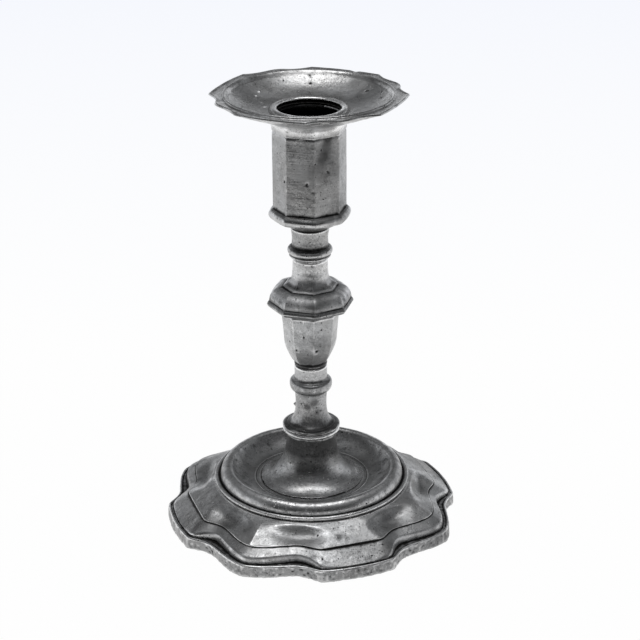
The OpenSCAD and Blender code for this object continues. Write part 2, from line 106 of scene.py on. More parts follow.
def soften(points, passes, keep):
    # rounds the corners of a profile a little, away from the first and last few points
    a = np.array(points, float)
    held = a.copy()
    for i in range(passes):
        a[1:-1] = a[1:-1] * 0.5 + (a[:-2] + a[2:]) * 0.25
        a[:keep] = held[:keep]
        a[-keep:] = held[-keep:]
    return [tuple(p) for p in a]


# Lumps: smooth random values from -1 to 1 over space

def lattice(ix, iy, iz, seed):
    h = (ix * 374761393 + iy * 668265263 + iz * 2147483647 + seed * 144665) & 0xFFFFFFFF
    h = ((h ^ (h >> 13)) * 1274126177) & 0xFFFFFFFF
    h = h ^ (h >> 16)
    return (h & 0xFFFF) / 32767.5 - 1


def lumps(points, size, seed):
    # points are in millimetres, and size is the width of one lump
    q = points / size + 1000
    base = np.floor(q).astype(np.int64)
    f = q - base
    f = f * f * (3 - 2 * f)
    total = np.zeros(len(points))
    for dx in (0, 1):
        for dy in (0, 1):
            for dz in (0, 1):
                w = (f[:, 0] if dx else 1 - f[:, 0]) * (f[:, 1] if dy else 1 - f[:, 1])
                w = w * (f[:, 2] if dz else 1 - f[:, 2])
                total += w * lattice(base[:, 0] + dx, base[:, 1] + dy, base[:, 2] + dz, seed)
    return total


# Meshes

def readMesh(mesh):
    n = len(mesh.vertices)
    points = np.empty(n * 3)
    mesh.vertices.foreach_get("co", points)
    edges = np.empty(len(mesh.edges) * 2, dtype=np.int64)
    mesh.edges.foreach_get("vertices", edges)
    return points.reshape(n, 3) / mm, edges.reshape(-1, 2)


def writePoints(mesh, points):
    mesh.vertices.foreach_set("co", (points * mm).astype(np.float32).ravel())
    mesh.update()


def vertexNormals(mesh):
    out = np.empty(len(mesh.vertices) * 3)
    mesh.vertex_normals.foreach_get("vector", out)
    return out.reshape(-1, 3)


def smoothOver(values, edges, passes):
    # averages each value with its neighbours' again and again
    n = len(values)
    degree = np.bincount(edges.ravel(), minlength=n).astype(float)
    degree[degree == 0] = 1
    flat = values.reshape(n, -1).copy()
    for i in range(passes):
        for c in range(flat.shape[1]):
            column = flat[:, c]
            near = np.bincount(edges[:, 0], weights=column[edges[:, 1]], minlength=n)
            near += np.bincount(edges[:, 1], weights=column[edges[:, 0]], minlength=n)
            flat[:, c] = column * 0.5 + near / degree * 0.5
    return flat.reshape(values.shape)


def storeValue(mesh, name, values):
    layer = mesh.attributes.get(name) or mesh.attributes.new(name, "FLOAT", "POINT")
    layer.data.foreach_set("value", values.astype(np.float32))


def aroundAt(turnDeg, radius, height):
    # a place on the stick, by its turn from the front to the viewer's right
    a = math.radians(turnDeg)
    return np.array([radius * math.sin(a), -radius * math.cos(a), height])


def age(mesh, node, look):
    # hand work and wear: a slight unevenness and softened edges; it also measures hollows, where dirt and painted
    # shade gather, and edges, where rubbing and a painted highlight brighten
    points, edges = readMesh(mesh)
    if look["soften"]:
        points = smoothOver(points, edges, look["soften"])
        writePoints(mesh, points)
    normals = vertexNormals(mesh)
    shift = np.zeros(len(points))
    for size, depth, seed in look["unevenness"]:
        shift += lumps(points, size, seed) * depth
    if "rough" in look:
        rough = look["rough"]
        fade = np.clip((rough["below"] - points[:, 2]) / 0.5, 0, 1)
        shift += lumps(points, rough["size"], rough["seed"]) * rough["depth"] * fade
    for turnDeg, radius, height, width, depth in look["dents"]:
        away = ((points - aroundAt(turnDeg, radius, height)) ** 2).sum(1) / width ** 2
        shift -= depth * np.exp(-away)
    points = points + normals * shift[:, None]
    lowest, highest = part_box(node)
    points = np.clip(points, np.array(lowest) / mm, np.array(highest) / mm)
    writePoints(mesh, points)
    normals = vertexNormals(mesh)
    fine = smoothOver(points, edges, look["finePasses"])
    broad = smoothOver(points, edges, look["broadPasses"])
    fineDepth = ((fine - points) * normals).sum(1)
    broadDepth = ((broad - points) * normals).sum(1)
    hollow = np.clip(fineDepth / look["fineReach"], -1, 1)
    deep = np.clip(broadDepth / look["broadReach"], -1, 1)
    hollow = smoothOver(hollow, edges, 1)
    deep = smoothOver(deep, edges, 2)
    for height, width in look["seams"]:
        away = np.clip(np.abs(points[:, 2] - height) / width, 0, 1)
        hollow *= away
        deep *= away
    storeValue(mesh, "hollow", hollow)
    storeValue(mesh, "deep", deep)
    # the tone of each piece is partly painted light: some castings are made lighter or darker for how light falls on
    # them
    tone = np.full(len(points), look["tone"])
    ragged = points[:, 2] + lumps(points, 2.5, 7) * look["ragged"]
    # besides real stains, the belts and stains paint shade and highlights into the tone
    for low, high, lowEdge, highEdge, change in look["belts"]:
        tone *= 1 + change * np.clip((ragged - low) / lowEdge, 0, 1) * np.clip((high - ragged) / highEdge, 0, 1)
    matte = np.zeros(len(points))
    frayed = 1 + lumps(points, 3.0, 19) * 0.45 + lumps(points, 1.1, 20) * 0.25
    for turnDeg, radius, height, width, change in look["stainsAndPaintedLight"]:
        away = ((points - aroundAt(turnDeg, radius, height)) ** 2).sum(1) / width ** 2
        tone *= 1 + change * np.clip(1.5 * np.exp(-away) * frayed, 0, 1)
        matte = np.maximum(matte, np.exp(-away / 3))
    # the inside of the bore is made almost black
    if "soot" in look:
        soot = look["soot"]
        inside = (np.hypot(points[:, 0], points[:, 1]) < soot["radius"]) & (points[:, 2] < soot["below"])
        tone[inside] = soot["tone"]
    storeValue(mesh, "tone", tone)
    storeValue(mesh, "matte", matte)


def addPiece(name, mesh, node, material, look):
    age(mesh, node, look)
    mesh.polygons.foreach_set("use_smooth", np.ones(len(mesh.polygons), dtype=bool))
    mesh.materials.clear()
    mesh.materials.append(material)
    piece = bpy.data.objects.new(name, mesh)
    bpy.context.scene.collection.objects.link(piece)
    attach(piece, "root")
    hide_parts(node)
    print("made", name, len(mesh.polygons), "faces")
    return piece


def ringMesh(name, rows, angles, closed=True):
    # rows is a list of (radii, heights), one pair of arrays for each line round the ring
    n = len(angles)
    m = len(rows)
    radii = np.array([np.broadcast_to(r, n) for r, z in rows])
    heights = np.array([np.broadcast_to(z, n) for r, z in rows])
    points = np.stack([radii * np.cos(angles), radii * np.sin(angles), heights], axis=2).reshape(-1, 3)
    j = np.arange(m if closed else m - 1)[:, None]
    i = np.arange(n)[None, :]
    a = j * n + i
    b = j * n + (i + 1) % n
    c = (j + 1) % m * n + (i + 1) % n
    d = (j + 1) % m * n + i
    faces = np.stack([a, b, c, d], axis=2).reshape(-1, 4)
    mesh = bpy.data.meshes.new(name)
    mesh.from_pydata((points * mm).tolist(), [], faces.tolist())
    mesh.update()
    return mesh


# Between two lines round a ring, n more that run straight, along a quarter of an ellipse, or round a bend

def straightRows(p, q, n):
    out = []
    for i in range(1, n + 1):
        t = i / n
        out.append((p[0] + (q[0] - p[0]) * t, p[1] + (q[1] - p[1]) * t))
    return out


def curvedRows(p, q, n, steepFirst=True):
    out = []
    for i in range(1, n + 1):
        a = math.pi / 2 * i / n
        if steepFirst:
            out.append((q[0] + (p[0] - q[0]) * math.cos(a), p[1] + (q[1] - p[1]) * math.sin(a)))
        else:
            out.append((p[0] + (q[0] - p[0]) * math.sin(a), q[1] + (p[1] - q[1]) * math.cos(a)))
    return out


def bentRows(p, corner, q, n):
    out = []
    for i in range(1, n + 1):
        t = i / n
        out.append(tuple((1 - t) ** 2 * p[k] + 2 * t * (1 - t) * corner[k] + t * t * q[k] for k in range(2)))
    return out


# Geometry Nodes tree: turns a profile round the axis, with flat sides where the profile asks for them

def buildTurningTree():
    tree = bpy.data.node_groups.new("turnedProfile", "GeometryNodeTree")
    face = tree.interface
    face.new_socket(name="Profile", in_out="INPUT", socket_type="NodeSocketGeometry")
    face.new_socket(name="Steps", in_out="INPUT", socket_type="NodeSocketInt")
    face.new_socket(name="Sides", in_out="INPUT", socket_type="NodeSocketInt")
    face.new_socket(name="Corner turn", in_out="INPUT", socket_type="NodeSocketFloat")
    face.new_socket(name="Finish", in_out="INPUT", socket_type="NodeSocketMaterial")
    face.new_socket(name="Turned", in_out="OUTPUT", socket_type="NodeSocketGeometry")
    nodes = tree.nodes
    links = tree.links
    source = nodes.new("NodeGroupInput")
    result = nodes.new("NodeGroupOutput")

    def maths(operation, a, b=None, c=None):
        node = nodes.new("ShaderNodeMath")
        node.operation = operation
        for slot, value in enumerate((a, b, c)):
            if value is None:
                continue
            if isinstance(value, (int, float)):
                node.inputs[slot].default_value = value
            else:
                links.new(value, node.inputs[slot])
        return node.outputs[0]

    size = nodes.new("GeometryNodeAttributeDomainSize")
    links.new(source.outputs["Profile"], size.inputs["Geometry"])
    count = size.outputs["Point Count"]
    grid = nodes.new("GeometryNodeMeshGrid")
    grid.inputs["Size X"].default_value = 1
    grid.inputs["Size Y"].default_value = 1
    links.new(maths("ADD", source.outputs["Steps"], 1), grid.inputs["Vertices X"])
    links.new(count, grid.inputs["Vertices Y"])

    place = nodes.new("GeometryNodeInputPosition")
    split = nodes.new("ShaderNodeSeparateXYZ")
    links.new(place.outputs[0], split.inputs[0])
    turn = maths("MULTIPLY", maths("ADD", split.outputs["X"], 0.5), 2 * math.pi)
    along = maths("MULTIPLY", maths("ADD", split.outputs["Y"], 0.5), maths("SUBTRACT", count, 1))
    index = maths("ROUND", along)

    whole = nodes.new("GeometryNodeInputPosition")
    atPoint = nodes.new("GeometryNodeSampleIndex")
    atPoint.data_type = "FLOAT_VECTOR"
    links.new(source.outputs["Profile"], atPoint.inputs["Geometry"])
    links.new(whole.outputs[0], atPoint.inputs["Value"])
    links.new(index, atPoint.inputs["Index"])
    named = nodes.new("GeometryNodeInputNamedAttribute")
    named.data_type = "FLOAT"
    named.inputs["Name"].default_value = "flat"
    flatAt = nodes.new("GeometryNodeSampleIndex")
    flatAt.data_type = "FLOAT"
    links.new(source.outputs["Profile"], flatAt.inputs["Geometry"])
    links.new(named.outputs["Attribute"], flatAt.inputs["Value"])
    links.new(index, flatAt.inputs["Index"])

    # over one side, the radius follows its flat: cos(half side) / cos(angle from its middle)
    side = maths("DIVIDE", 2 * math.pi, source.outputs["Sides"])
    half = maths("DIVIDE", side, 2)
    fromMiddle = maths("SUBTRACT", maths("MODULO", turn, side), half)
    flatRadius = maths("DIVIDE", maths("COSINE", half), maths("COSINE", fromMiddle))
    factor = maths("MULTIPLY_ADD", maths("SUBTRACT", flatRadius, 1), flatAt.outputs["Value"], 1)
    spot = nodes.new("ShaderNodeSeparateXYZ")
    links.new(atPoint.outputs["Value"], spot.inputs[0])
    radius = maths("MULTIPLY", spot.outputs["X"], factor)
    angle = maths("ADD", turn, source.outputs["Corner turn"])
    where = nodes.new("ShaderNodeCombineXYZ")
    links.new(maths("MULTIPLY", radius, maths("COSINE", angle)), where.inputs["X"])
    links.new(maths("MULTIPLY", radius, maths("SINE", angle)), where.inputs["Y"])
    links.new(spot.outputs["Z"], where.inputs["Z"])

    move = nodes.new("GeometryNodeSetPosition")
    links.new(grid.outputs["Mesh"], move.inputs["Geometry"])
    links.new(where.outputs[0], move.inputs["Position"])
    merge = nodes.new("GeometryNodeMergeByDistance")
    merge.inputs["Distance"].default_value = 0.000002
    links.new(move.outputs["Geometry"], merge.inputs["Geometry"])
    realize = nodes.new("GeometryNodeRealizeInstances")
    links.new(merge.outputs["Geometry"], realize.inputs["Geometry"])
    finish = nodes.new("GeometryNodeSetMaterial")
    links.new(realize.outputs["Geometry"], finish.inputs["Geometry"])
    links.new(source.outputs["Finish"], finish.inputs["Material"])
    links.new(finish.outputs["Geometry"], result.inputs["Turned"])
    return tree


def setInput(modifier, name, value):
    for item in modifier.node_group.interface.items_tree:
        if item.in_out == "INPUT" and item.name == name:
            modifier[item.identifier] = value


octagon = {"sides": 8, "turnDeg": 7}   # the corners stand this far to the right of the front


def turnedMesh(name, profile, steps, material):
    # profile is a list of (radius, height, flat): flat is 0 for round and 1 for eight flat sides
    seed = bpy.data.meshes.new(name + "Profile")
    seed.from_pydata([(p[0] * mm, 0, p[1] * mm) for p in profile],
                     [(i, i + 1) for i in range(len(profile) - 1)], [])
    storeValue(seed, "flat", np.array([p[2] for p in profile]))
    holder = bpy.data.objects.new(name + "Turning", seed)
    bpy.context.scene.collection.objects.link(holder)
    modifier = holder.modifiers.new("turning", "NODES")
    modifier.node_group = turningTree
    setInput(modifier, "Steps", steps)
    setInput(modifier, "Sides", octagon["sides"])
    setInput(modifier, "Corner turn", math.radians(octagon["turnDeg"] - 90))
    setInput(modifier, "Finish", material)
    bpy.context.view_layer.update()
    ready = holder.evaluated_get(bpy.context.evaluated_depsgraph_get())
    mesh = bpy.data.meshes.new_from_object(ready)
    mesh.name = name
    holder.modifiers.clear()
    bpy.data.objects.remove(holder)
    bpy.data.meshes.remove(seed)
    clean = bmesh.new()
    clean.from_mesh(mesh)
    bmesh.ops.delete(clean, geom=[e for e in clean.edges if not e.link_faces], context="EDGES")
    bmesh.ops.delete(clean, geom=[v for v in clean.verts if not v.link_faces], context="VERTS")
    clean.to_mesh(mesh)
    clean.free()
    return mesh


turningTree = buildTurningTree()


def flatly(points, flat):
    return [(r, z, flat) for r, z in points]


# Nodes

def addNode(tree, kind, inputs=None, **settings):
    node = tree.nodes.new(kind)
    for key, value in settings.items():
        setattr(node, key, value)
    for key, value in (inputs or {}).items():
        if isinstance(value, bpy.types.NodeSocket):
            tree.links.new(value, node.inputs[key])
        else:
            node.inputs[key].default_value = value
    return node


def mathNode(tree, operation, *values, clamp=False):
    node = addNode(tree, "ShaderNodeMath", dict(enumerate(values)), operation=operation)
    node.use_clamp = clamp
    return node.outputs[0]


def rampTo(tree, value, low, high, toLow=0.0, toHigh=1.0):
    # moves a value from one range to another and stops at its ends
    node = addNode(tree, "ShaderNodeMapRange", {"Value": value, "From Min": low, "From Max": high,
                                                "To Min": toLow, "To Max": toHigh})
    return node.outputs["Result"]


def mixColours(tree, factor, a, b, blend="MIX"):
    node = tree.nodes.new("ShaderNodeMix")
    node.data_type = "RGBA"
    node.blend_type = blend
    for socket, value in ((node.inputs[0], factor), (node.inputs[6], a), (node.inputs[7], b)):
        if isinstance(value, bpy.types.NodeSocket):
            tree.links.new(value, socket)
        else:
            socket.default_value = value
    return node.outputs[2]


def grey(level, warmth=0.0):
    return (level * (1 + warmth), level, level * (1 - warmth), 1)


def noiseAt(tree, where, sizeMm, detail=2.0, roughness=0.5):
    # cloudy noise whose clouds are about sizeMm wide
    node = addNode(tree, "ShaderNodeTexNoise", {"Vector": where, "Scale": 1 / (sizeMm * mm),
                                                "Detail": detail, "Roughness": roughness})
    return node.outputs["Fac"]


def stretched(tree, where, x, y, z):
    node = addNode(tree, "ShaderNodeMapping", {"Vector": where, "Scale": (x, y, z)})
    return node.outputs["Vector"]


def pitsAt(tree, where, spacingMm, pitMm, share):
    # round pits: one in some of the cells of a grid, from 0 outside to 1 at the bottom
    cells = addNode(tree, "ShaderNodeTexVoronoi", {"Vector": where, "Scale": 1 / (spacingMm * mm),
                                                   "Randomness": 1.0})
    near = rampTo(tree, cells.outputs["Distance"], 0.35 * pitMm / spacingMm, pitMm / spacingMm, 1, 0)
    split = addNode(tree, "ShaderNodeSeparateColor", {"Color": cells.outputs["Color"]})
    chosen = mathNode(tree, "LESS_THAN", split.outputs["Red"], share)
    return mathNode(tree, "MULTIPLY", near, chosen)


pewter = {
    "base": 0.44,          # grey of the plain metal
    # the grey of rubbed edges, also used as a painted highlight on edges and for the glints
    "worn": 0.85,          # where it is rubbed
    # the near-black of dirt, also laid on hollows and creases as painted shade
    "patinaAndShade": 0.022,       # where dirt stays
    "roughness": 0.25,
    "satin": 0.38,
}


def makePewter(name, chatter=0.0, pitting=1.0, coarse=0.0, dull=0.0, haze=0.0, smoothest=0.25):
    material = bpy.data.materials.new(name)
    material.use_nodes = True
    tree = material.node_tree
    tree.nodes.clear()
    where = addNode(tree, "ShaderNodeTexCoord").outputs["Object"]
    hollow = addNode(tree, "ShaderNodeAttribute", attribute_name="hollow").outputs["Fac"]
    deep = addNode(tree, "ShaderNodeAttribute", attribute_name="deep").outputs["Fac"]

    clouds = noiseAt(tree, where, 15, 3, 0.55)
    mottle = noiseAt(tree, where, 2.6, 4, 0.65)
    grain = noiseAt(tree, where, 0.6, 3, 0.75)
    streaks = noiseAt(tree, stretched(tree, where, 1, 1, 9), 4.5, 3, 0.6)

    # a wavering copy of the place makes the pits ragged
    shake = addNode(tree, "ShaderNodeTexNoise", {"Vector": where, "Scale": 1 / (0.8 * mm), "Detail": 2.0})
    shake = addNode(tree, "ShaderNodeVectorMath", {0: shake.outputs["Color"], 1: (0.5, 0.5, 0.5)},
                    operation="SUBTRACT")
    shake = addNode(tree, "ShaderNodeVectorMath", {0: shake.outputs["Vector"], "Scale": 0.9 * mm},
                    operation="SCALE")
    ragged = addNode(tree, "ShaderNodeVectorMath", {0: where, 1: shake.outputs["Vector"]},
                     operation="ADD").outputs["Vector"]

    # pits lie in clusters, and so do the small nicks that run two ways
    cluster = noiseAt(tree, where, 6.5, 2, 0.6)
    crowd = rampTo(tree, cluster, 0.42, 0.66, 0.10, 0.62)
    pits = pitsAt(tree, ragged, 1.9, 0.38, mathNode(tree, "MULTIPLY", crowd, 0.5 * pitting))
    specks = pitsAt(tree, ragged, 0.85, 0.24, mathNode(tree, "MULTIPLY", crowd, 0.8 * pitting))
    slanting = addNode(tree, "ShaderNodeMapping", {"Vector": ragged, "Rotation": (0.5, 0.7, 0.9),
                                                    "Scale": (1, 1, 0.28)}).outputs["Vector"]
    nicks = pitsAt(tree, slanting, 1.9, 0.24, mathNode(tree, "MULTIPLY", crowd, 0.35 * pitting))
    crossing = addNode(tree, "ShaderNodeMapping", {"Vector": where, "Rotation": (2.2, -0.6, 0.2),
                                                   "Scale": (1, 1, 0.22)}).outputs["Vector"]
    glints = pitsAt(tree, crossing, 2.4, 0.26, 0.16)

    # some stretches are smooth and others grainy
    patchy = rampTo(tree, noiseAt(tree, where, 8, 3, 0.55), 0.40, 0.58, smoothest, 1.0)

    # dirt and painted shade darken the hollows and creases, and the edges are rubbed bright, partly as a painted
    # highlight
    dirtAndShade = mathNode(tree, "ADD", rampTo(tree, hollow, 0.04, 0.45), rampTo(tree, deep, 0.10, 0.85, 0, 0.85))
    dirtAndShade = mathNode(tree, "ADD", dirtAndShade, rampTo(tree, mottle, 0.52, 0.78, -0.2, 0.40))
    dirtAndShade = mathNode(tree, "ADD", dirtAndShade, rampTo(tree, clouds, 0.45, 0.75, -0.1, 0.18 + dull), clamp=True)
    rubAndHighlight = mathNode(tree, "ADD", rampTo(tree, hollow, -0.04, -0.34), rampTo(tree, mottle, 0.55, 0.30, -0.45, 0.1),
                   clamp=True)

    colour = mixColours(tree, rampTo(tree, clouds, 0.35, 0.68), grey(pewter["base"] * 0.88, 0.004),
                        grey(pewter["base"] * 1.14, -0.012))
    colour = mixColours(tree, rampTo(tree, streaks, 0.42, 0.7, 0, 0.35), colour, grey(pewter["base"] * 0.7, 0.01))
    speckle = mathNode(tree, "MULTIPLY", rampTo(tree, mottle, 0.3, 0.7, 1.14, 0.84),
                       rampTo(tree, grain, 0.3, 0.7, 1.42, 0.58))
    colour = mixColours(tree, patchy, colour, mixColours(tree, 1.0, colour, speckle, "MULTIPLY"))
    colour = mixColours(tree, rubAndHighlight, colour, grey(pewter["worn"]))
    tone = addNode(tree, "ShaderNodeAttribute", attribute_name="tone").outputs["Color"]
    colour = mixColours(tree, 1.0, colour, tone, "MULTIPLY")
    colour = mixColours(tree, dirtAndShade, colour, grey(pewter["patinaAndShade"], 0.02))
    colour = mixColours(tree, mathNode(tree, "MULTIPLY", glints, 0.8), colour, grey(pewter["worn"]))
    dark = mathNode(tree, "MAXIMUM", pits, mathNode(tree, "MULTIPLY", specks, 0.75))
    dark = mathNode(tree, "MAXIMUM", dark, mathNode(tree, "MULTIPLY", nicks, 0.85))
    colour = mixColours(tree, dark, colour, grey(0.02, 0.05))

    rough = rampTo(tree, clouds, 0.3, 0.7, pewter["roughness"] + haze, pewter["satin"] + haze)
    rough = mathNode(tree, "ADD", rough, rampTo(tree, mottle, 0.3, 0.75, -0.07, 0.10))
    rough = mathNode(tree, "ADD", rough, mathNode(tree, "MULTIPLY", dirtAndShade, 0.2))
    matte = addNode(tree, "ShaderNodeAttribute", attribute_name="matte").outputs["Fac"]
    rough = mathNode(tree, "ADD", rough, mathNode(tree, "MULTIPLY", matte, 0.14))
    rough = mathNode(tree, "SUBTRACT", rough, mathNode(tree, "MULTIPLY", rubAndHighlight, 0.07), clamp=True)

    height = mathNode(tree, "MULTIPLY", grain, 0.030 + coarse * 0.04)
    height = mathNode(tree, "ADD", height, mathNode(tree, "MULTIPLY", mottle, 0.090 + coarse * 0.10))
    height = mathNode(tree, "MULTIPLY", height, patchy)
    height = mathNode(tree, "ADD", height, mathNode(tree, "MULTIPLY", streaks, 0.020))
    height = mathNode(tree, "SUBTRACT", height, mathNode(tree, "MULTIPLY", pits, 0.14))
    height = mathNode(tree, "SUBTRACT", height, mathNode(tree, "MULTIPLY", specks, 0.06))
    height = mathNode(tree, "SUBTRACT", height, mathNode(tree, "MULTIPLY", nicks, 0.08))
    if chatter:
        # fine level lines that a file or a lathe left
        lines = noiseAt(tree, stretched(tree, where, 0.12, 0.12, 6), 2.6, 2, 0.6)
        cut = mathNode(tree, "MULTIPLY", mathNode(tree, "MULTIPLY", lines, patchy), chatter)
        height = mathNode(tree, "ADD", height, cut)
        rough = mathNode(tree, "ADD", rough, rampTo(tree, lines, 0.35, 0.7, -0.03, 0.06), clamp=True)
    bump = addNode(tree, "ShaderNodeBump", {"Height": height, "Strength": 1.0, "Distance": mm})

    shader = addNode(tree, "ShaderNodeBsdfPrincipled", {
        "Base Color": colour,
        "Metallic": 1.0,
        "Roughness": rough,
        "Normal": bump.outputs["Normal"],
    })
    result = addNode(tree, "ShaderNodeOutputMaterial")
    tree.links.new(shader.outputs["BSDF"], result.inputs["Surface"])
    return material


plainPewter = makePewter("pewter")
pittedPewter = makePewter("pittedPewter", pitting=1.3, coarse=0.25, dull=0.06)
filedPewter = makePewter("filedPewter", chatter=0.05, pitting=1.3)
turnedPewter = makePewter("turnedPewter", chatter=0.02, pitting=1.2, coarse=0.1)
nettedPewter = makePewter("nettedPewter", pitting=1.6, coarse=1.0, dull=0.5, haze=0.05, smoothest=1.0)
darkPewter = makePewter("darkPewter", pitting=1.5, coarse=0.5, dull=0.2, haze=0.08, smoothest=0.5)
print("materials made")


# What hand work and age do to each casting: lumps of a width, a depth and a seed, in millimetres

def makeLook(seed, tone=1.0, belts=(), fine=8, broad=50, fineReach=0.12, broadReach=0.5, depth=1.0, soften=3,
             dents=(), stainsAndPaintedLight=(), seams=()):
    # belts change the tone between two heights: low, high, width of the low edge and of the high edge, change; many
    # are painted shade in creases and under rims, and a few are painted highlights
    # dents and stains: turn from the front in degrees, radius, height, width, then depth or change of tone; many
    # stains are painted shade, and some are painted highlights
    # seams are heights, with a width, at which no dirt or painted shade shows between two castings
    return {
        "seams": seams,
        "dents": dents,
        "stainsAndPaintedLight": stainsAndPaintedLight,
        "tone": tone,
        "belts": belts,
        "ragged": 0.6,
        "soften": soften,
        "unevenness": [(11, 0.055 * depth, seed), (3.6, 0.022 * depth, seed + 1), (1.2, 0.007 * depth, seed + 2)],
        "finePasses": fine,
        "broadPasses": broad,
        "fineReach": fineReach,
        "broadReach": broadReach,
    }


# Foot

foot = {
    "sweepSteps": 720,
    "lobeTurnDeg": 18.5,      # the flat lobes, from the front to the viewer's right
    "cornerDeg": 15,          # half of a flat lobe
    "valleyDeg": 25,
    "base": (53.4, 49.3, 54.9),       # radii at a flat lobe, a valley and a round lobe
    "lip": (53.2, 49.8, 54.4),
    "toe": (51.5, 46.3, 52.4),
    "step": (45.9, 43.0, 48.3),
    "dip": 0.3,
    "stepDip": 1.5,
    "toeDip": 0.4,
    "baseSoftDeg": 2,         # how softly the base, and the step and the ledge, turn the lobes' corners
    "cornerSoftDeg": 3.5,
    "facetDeg": 13,           # half of a flat lobe's front face
    "bandH": 4.5,
    "lipW": 0.55,
    "grooveD": 0.55,
    "ledgeH": 4.3,            # from the lip up to the step
    "ledgeFall": 0.64,        # slope of the ledge, down from the step
    "ledgeFlat": 0.80,        # share of the ledge's width before it rounds over
    "ledgeTurn": 0.97,
    "stepH": 0.4,
    "seatR": 35.95,
    "boreR": 33.1,
    "scoopSlope": 0.15,       # rise of a scoop per millimetre at its mouth
    "scoopCurve": 0.0030,     # how much steeper it gets towards its back wall
    "scoopSides": 0.024,
    "scoopSoft": 1.7,         # rounding of the scoop's rim
    "shoulderFall": 0.25,
    "shoulderSoft": 0.6,
    "flank": 0.8,
    "crease": 0.15,
    "facetSoft": 0.35,
    "wall": 2.0,
}


def sweepAngles(steps, startDeg):
    return np.radians(startDeg) + np.arange(steps) * 2 * math.pi / steps


def lobePhi(steps):
    m = np.arange(steps) * 360 / steps % 90
    return np.where(m > 45, 90 - m, m)


def footOutline(phi, three, dip, softDeg=0):
    flat, valley, peak = three
    corner = foot["cornerDeg"]
    low = foot["valleyDeg"]
    onFlat = flat - dip * (1 - (phi / corner) ** 2)
    onSide = valley + (flat - valley) * ((low - phi) / (low - corner)) ** 2
    t = np.clip((phi - low) / (45 - low), 0, 1)
    onRound = valley + (peak - valley) * (t + (1 - np.cos(math.pi * t)) / 2) / 2
    outline = np.where(phi <= corner, onFlat, np.where(phi <= low, onSide, onRound))
    reach = round(softDeg * len(phi) / 360)
    if not reach:
        return outline
    weights = {k: reach + 1 - abs(k) for k in range(-reach, reach + 1)}
    return sum(np.roll(outline, k) * w for k, w in weights.items()) / sum(weights.values())


def softMin(a, b, k):
    # the lower of two, with the crease between them rounded over about k
    h = np.clip(0.5 + 0.5 * (b - a) / k, 0, 1)
    return b * (1 - h) + a * h - k * h * (1 - h)


def slopeRise(phi, r, edge, slopeH):
    # planes of the flat lobes and of the sides, the round shoulder, and a thumb-like scoop over each valley
    rad = np.radians(phi)
    flatEdge = foot["step"][0] * math.cos(math.radians(foot["cornerDeg"]))
    start = np.array([flatEdge, flatEdge * math.tan(math.radians(foot["facetDeg"]))])
    end = foot["step"][2] * np.array([math.cos(math.pi / 4), math.sin(math.pi / 4)])
    run = end - start
    sideDir = math.atan2(-run[0], run[1])
    sideEdge = start[0] * math.cos(sideDir) + start[1] * math.sin(sideDir)
    seat = foot["seatR"]
    flatPlane = slopeH * (flatEdge - r * np.cos(rad)) / (flatEdge - seat)
    sidePlane = slopeH * (sideEdge - r * np.cos(rad - sideDir)) / (sideEdge - seat)
    shoulder = slopeH - foot["shoulderFall"] * (r - seat)
    fromValley = rad - math.radians(foot["valleyDeg"])
    across = r * np.sin(fromValley)
    inward = foot["step"][1] - r * np.cos(fromValley)
    scoop = foot["scoopSlope"] * inward + foot["scoopCurve"] * inward ** 4 + foot["scoopSides"] * across ** 2
    flank = foot["flank"] * np.maximum(edge - r, 0)
    rise = softMin(flatPlane, sidePlane, foot["facetSoft"])
    rise = softMin(rise, shoulder, foot["shoulderSoft"])
    rise = softMin(rise, scoop, foot["scoopSoft"])
    rise = softMin(rise, flank, foot["crease"])
    return np.clip(rise, 0, slopeH)


def makeFoot():
    steps = foot["sweepSteps"]
    phi = lobePhi(steps)
    base = footOutline(phi, foot["base"], foot["dip"], foot["baseSoftDeg"])
    lip = footOutline(phi, foot["lip"], foot["dip"], foot["baseSoftDeg"])
    step = footOutline(phi, foot["step"], foot["stepDip"], foot["cornerSoftDeg"])
    top = topOf("foot")
    band = foot["bandH"]
    w = foot["lipW"]
    toe = footOutline(phi, foot["toe"], foot["toeDip"], foot["cornerSoftDeg"])
    grooveZ = band - foot["grooveD"]
    stepZ = band + foot["ledgeH"]
    slopeZ = stepZ + foot["stepH"]
    seat = foot["seatR"]
    wall = foot["wall"]

    rows = [(base - 0.3, 0)]
    rows += curvedRows((base - 0.3, 0), (base, 0.4), 2, False)
    rows += straightRows((base, 0.4), (lip, band - 0.7), 10)
    rows += curvedRows((lip, band - 0.7), (lip - w, band), 5)
    rows += straightRows((lip - w, band), (lip - w - 0.2, band - 0.1), 1)
    rows += bentRows(rows[-1], (lip - w - 0.35, grooveZ), (lip - w - 0.45, grooveZ), 3)
    rows += straightRows(rows[-1], (toe, grooveZ), 4)
    rows += straightRows(rows[-1], (toe, band + 0.1), 3)
    width = toe - step
    flatW = width * foot["ledgeFlat"]
    turnW = width * foot["ledgeTurn"]
    fall = foot["ledgeFall"]
    rows += bentRows(rows[-1], (step + turnW, stepZ - turnW * fall), (step + flatW, stepZ - flatW * fall), 10)
    rows += straightRows(rows[-1], (step, stepZ), 7)
    rows += straightRows((step, stepZ), (step, slopeZ), 3)
    n = 44
    for i in range(1, n + 1):
        r = step + (seat - step) * i / n
        rows.append((r, slopeZ + slopeRise(phi, r, step, top - slopeZ)))
    rows += straightRows((seat, top), (foot["boreR"], top), 3)
    rows += straightRows((foot["boreR"], top), (foot["boreR"], top - wall), 2)
    inner = [
        (seat - 2, top - wall - 0.2),
        (seat + (step - seat) / 2 - 1, top - wall - 2.6),
        (step - wall - 0.5, stepZ - wall - 0.4),
        (toe - wall - 0.6, band),
        (base - wall - 0.6, 0),
    ]
    last = rows[-1]
    for p in inner:
        rows += straightRows(last, p, 5)
        last = p
    rows += straightRows(last, (base - 0.3, 0), 3)[:-1]
    return ringMesh("footCasting", rows, sweepAngles(steps, foot["lobeTurnDeg"] - 90))
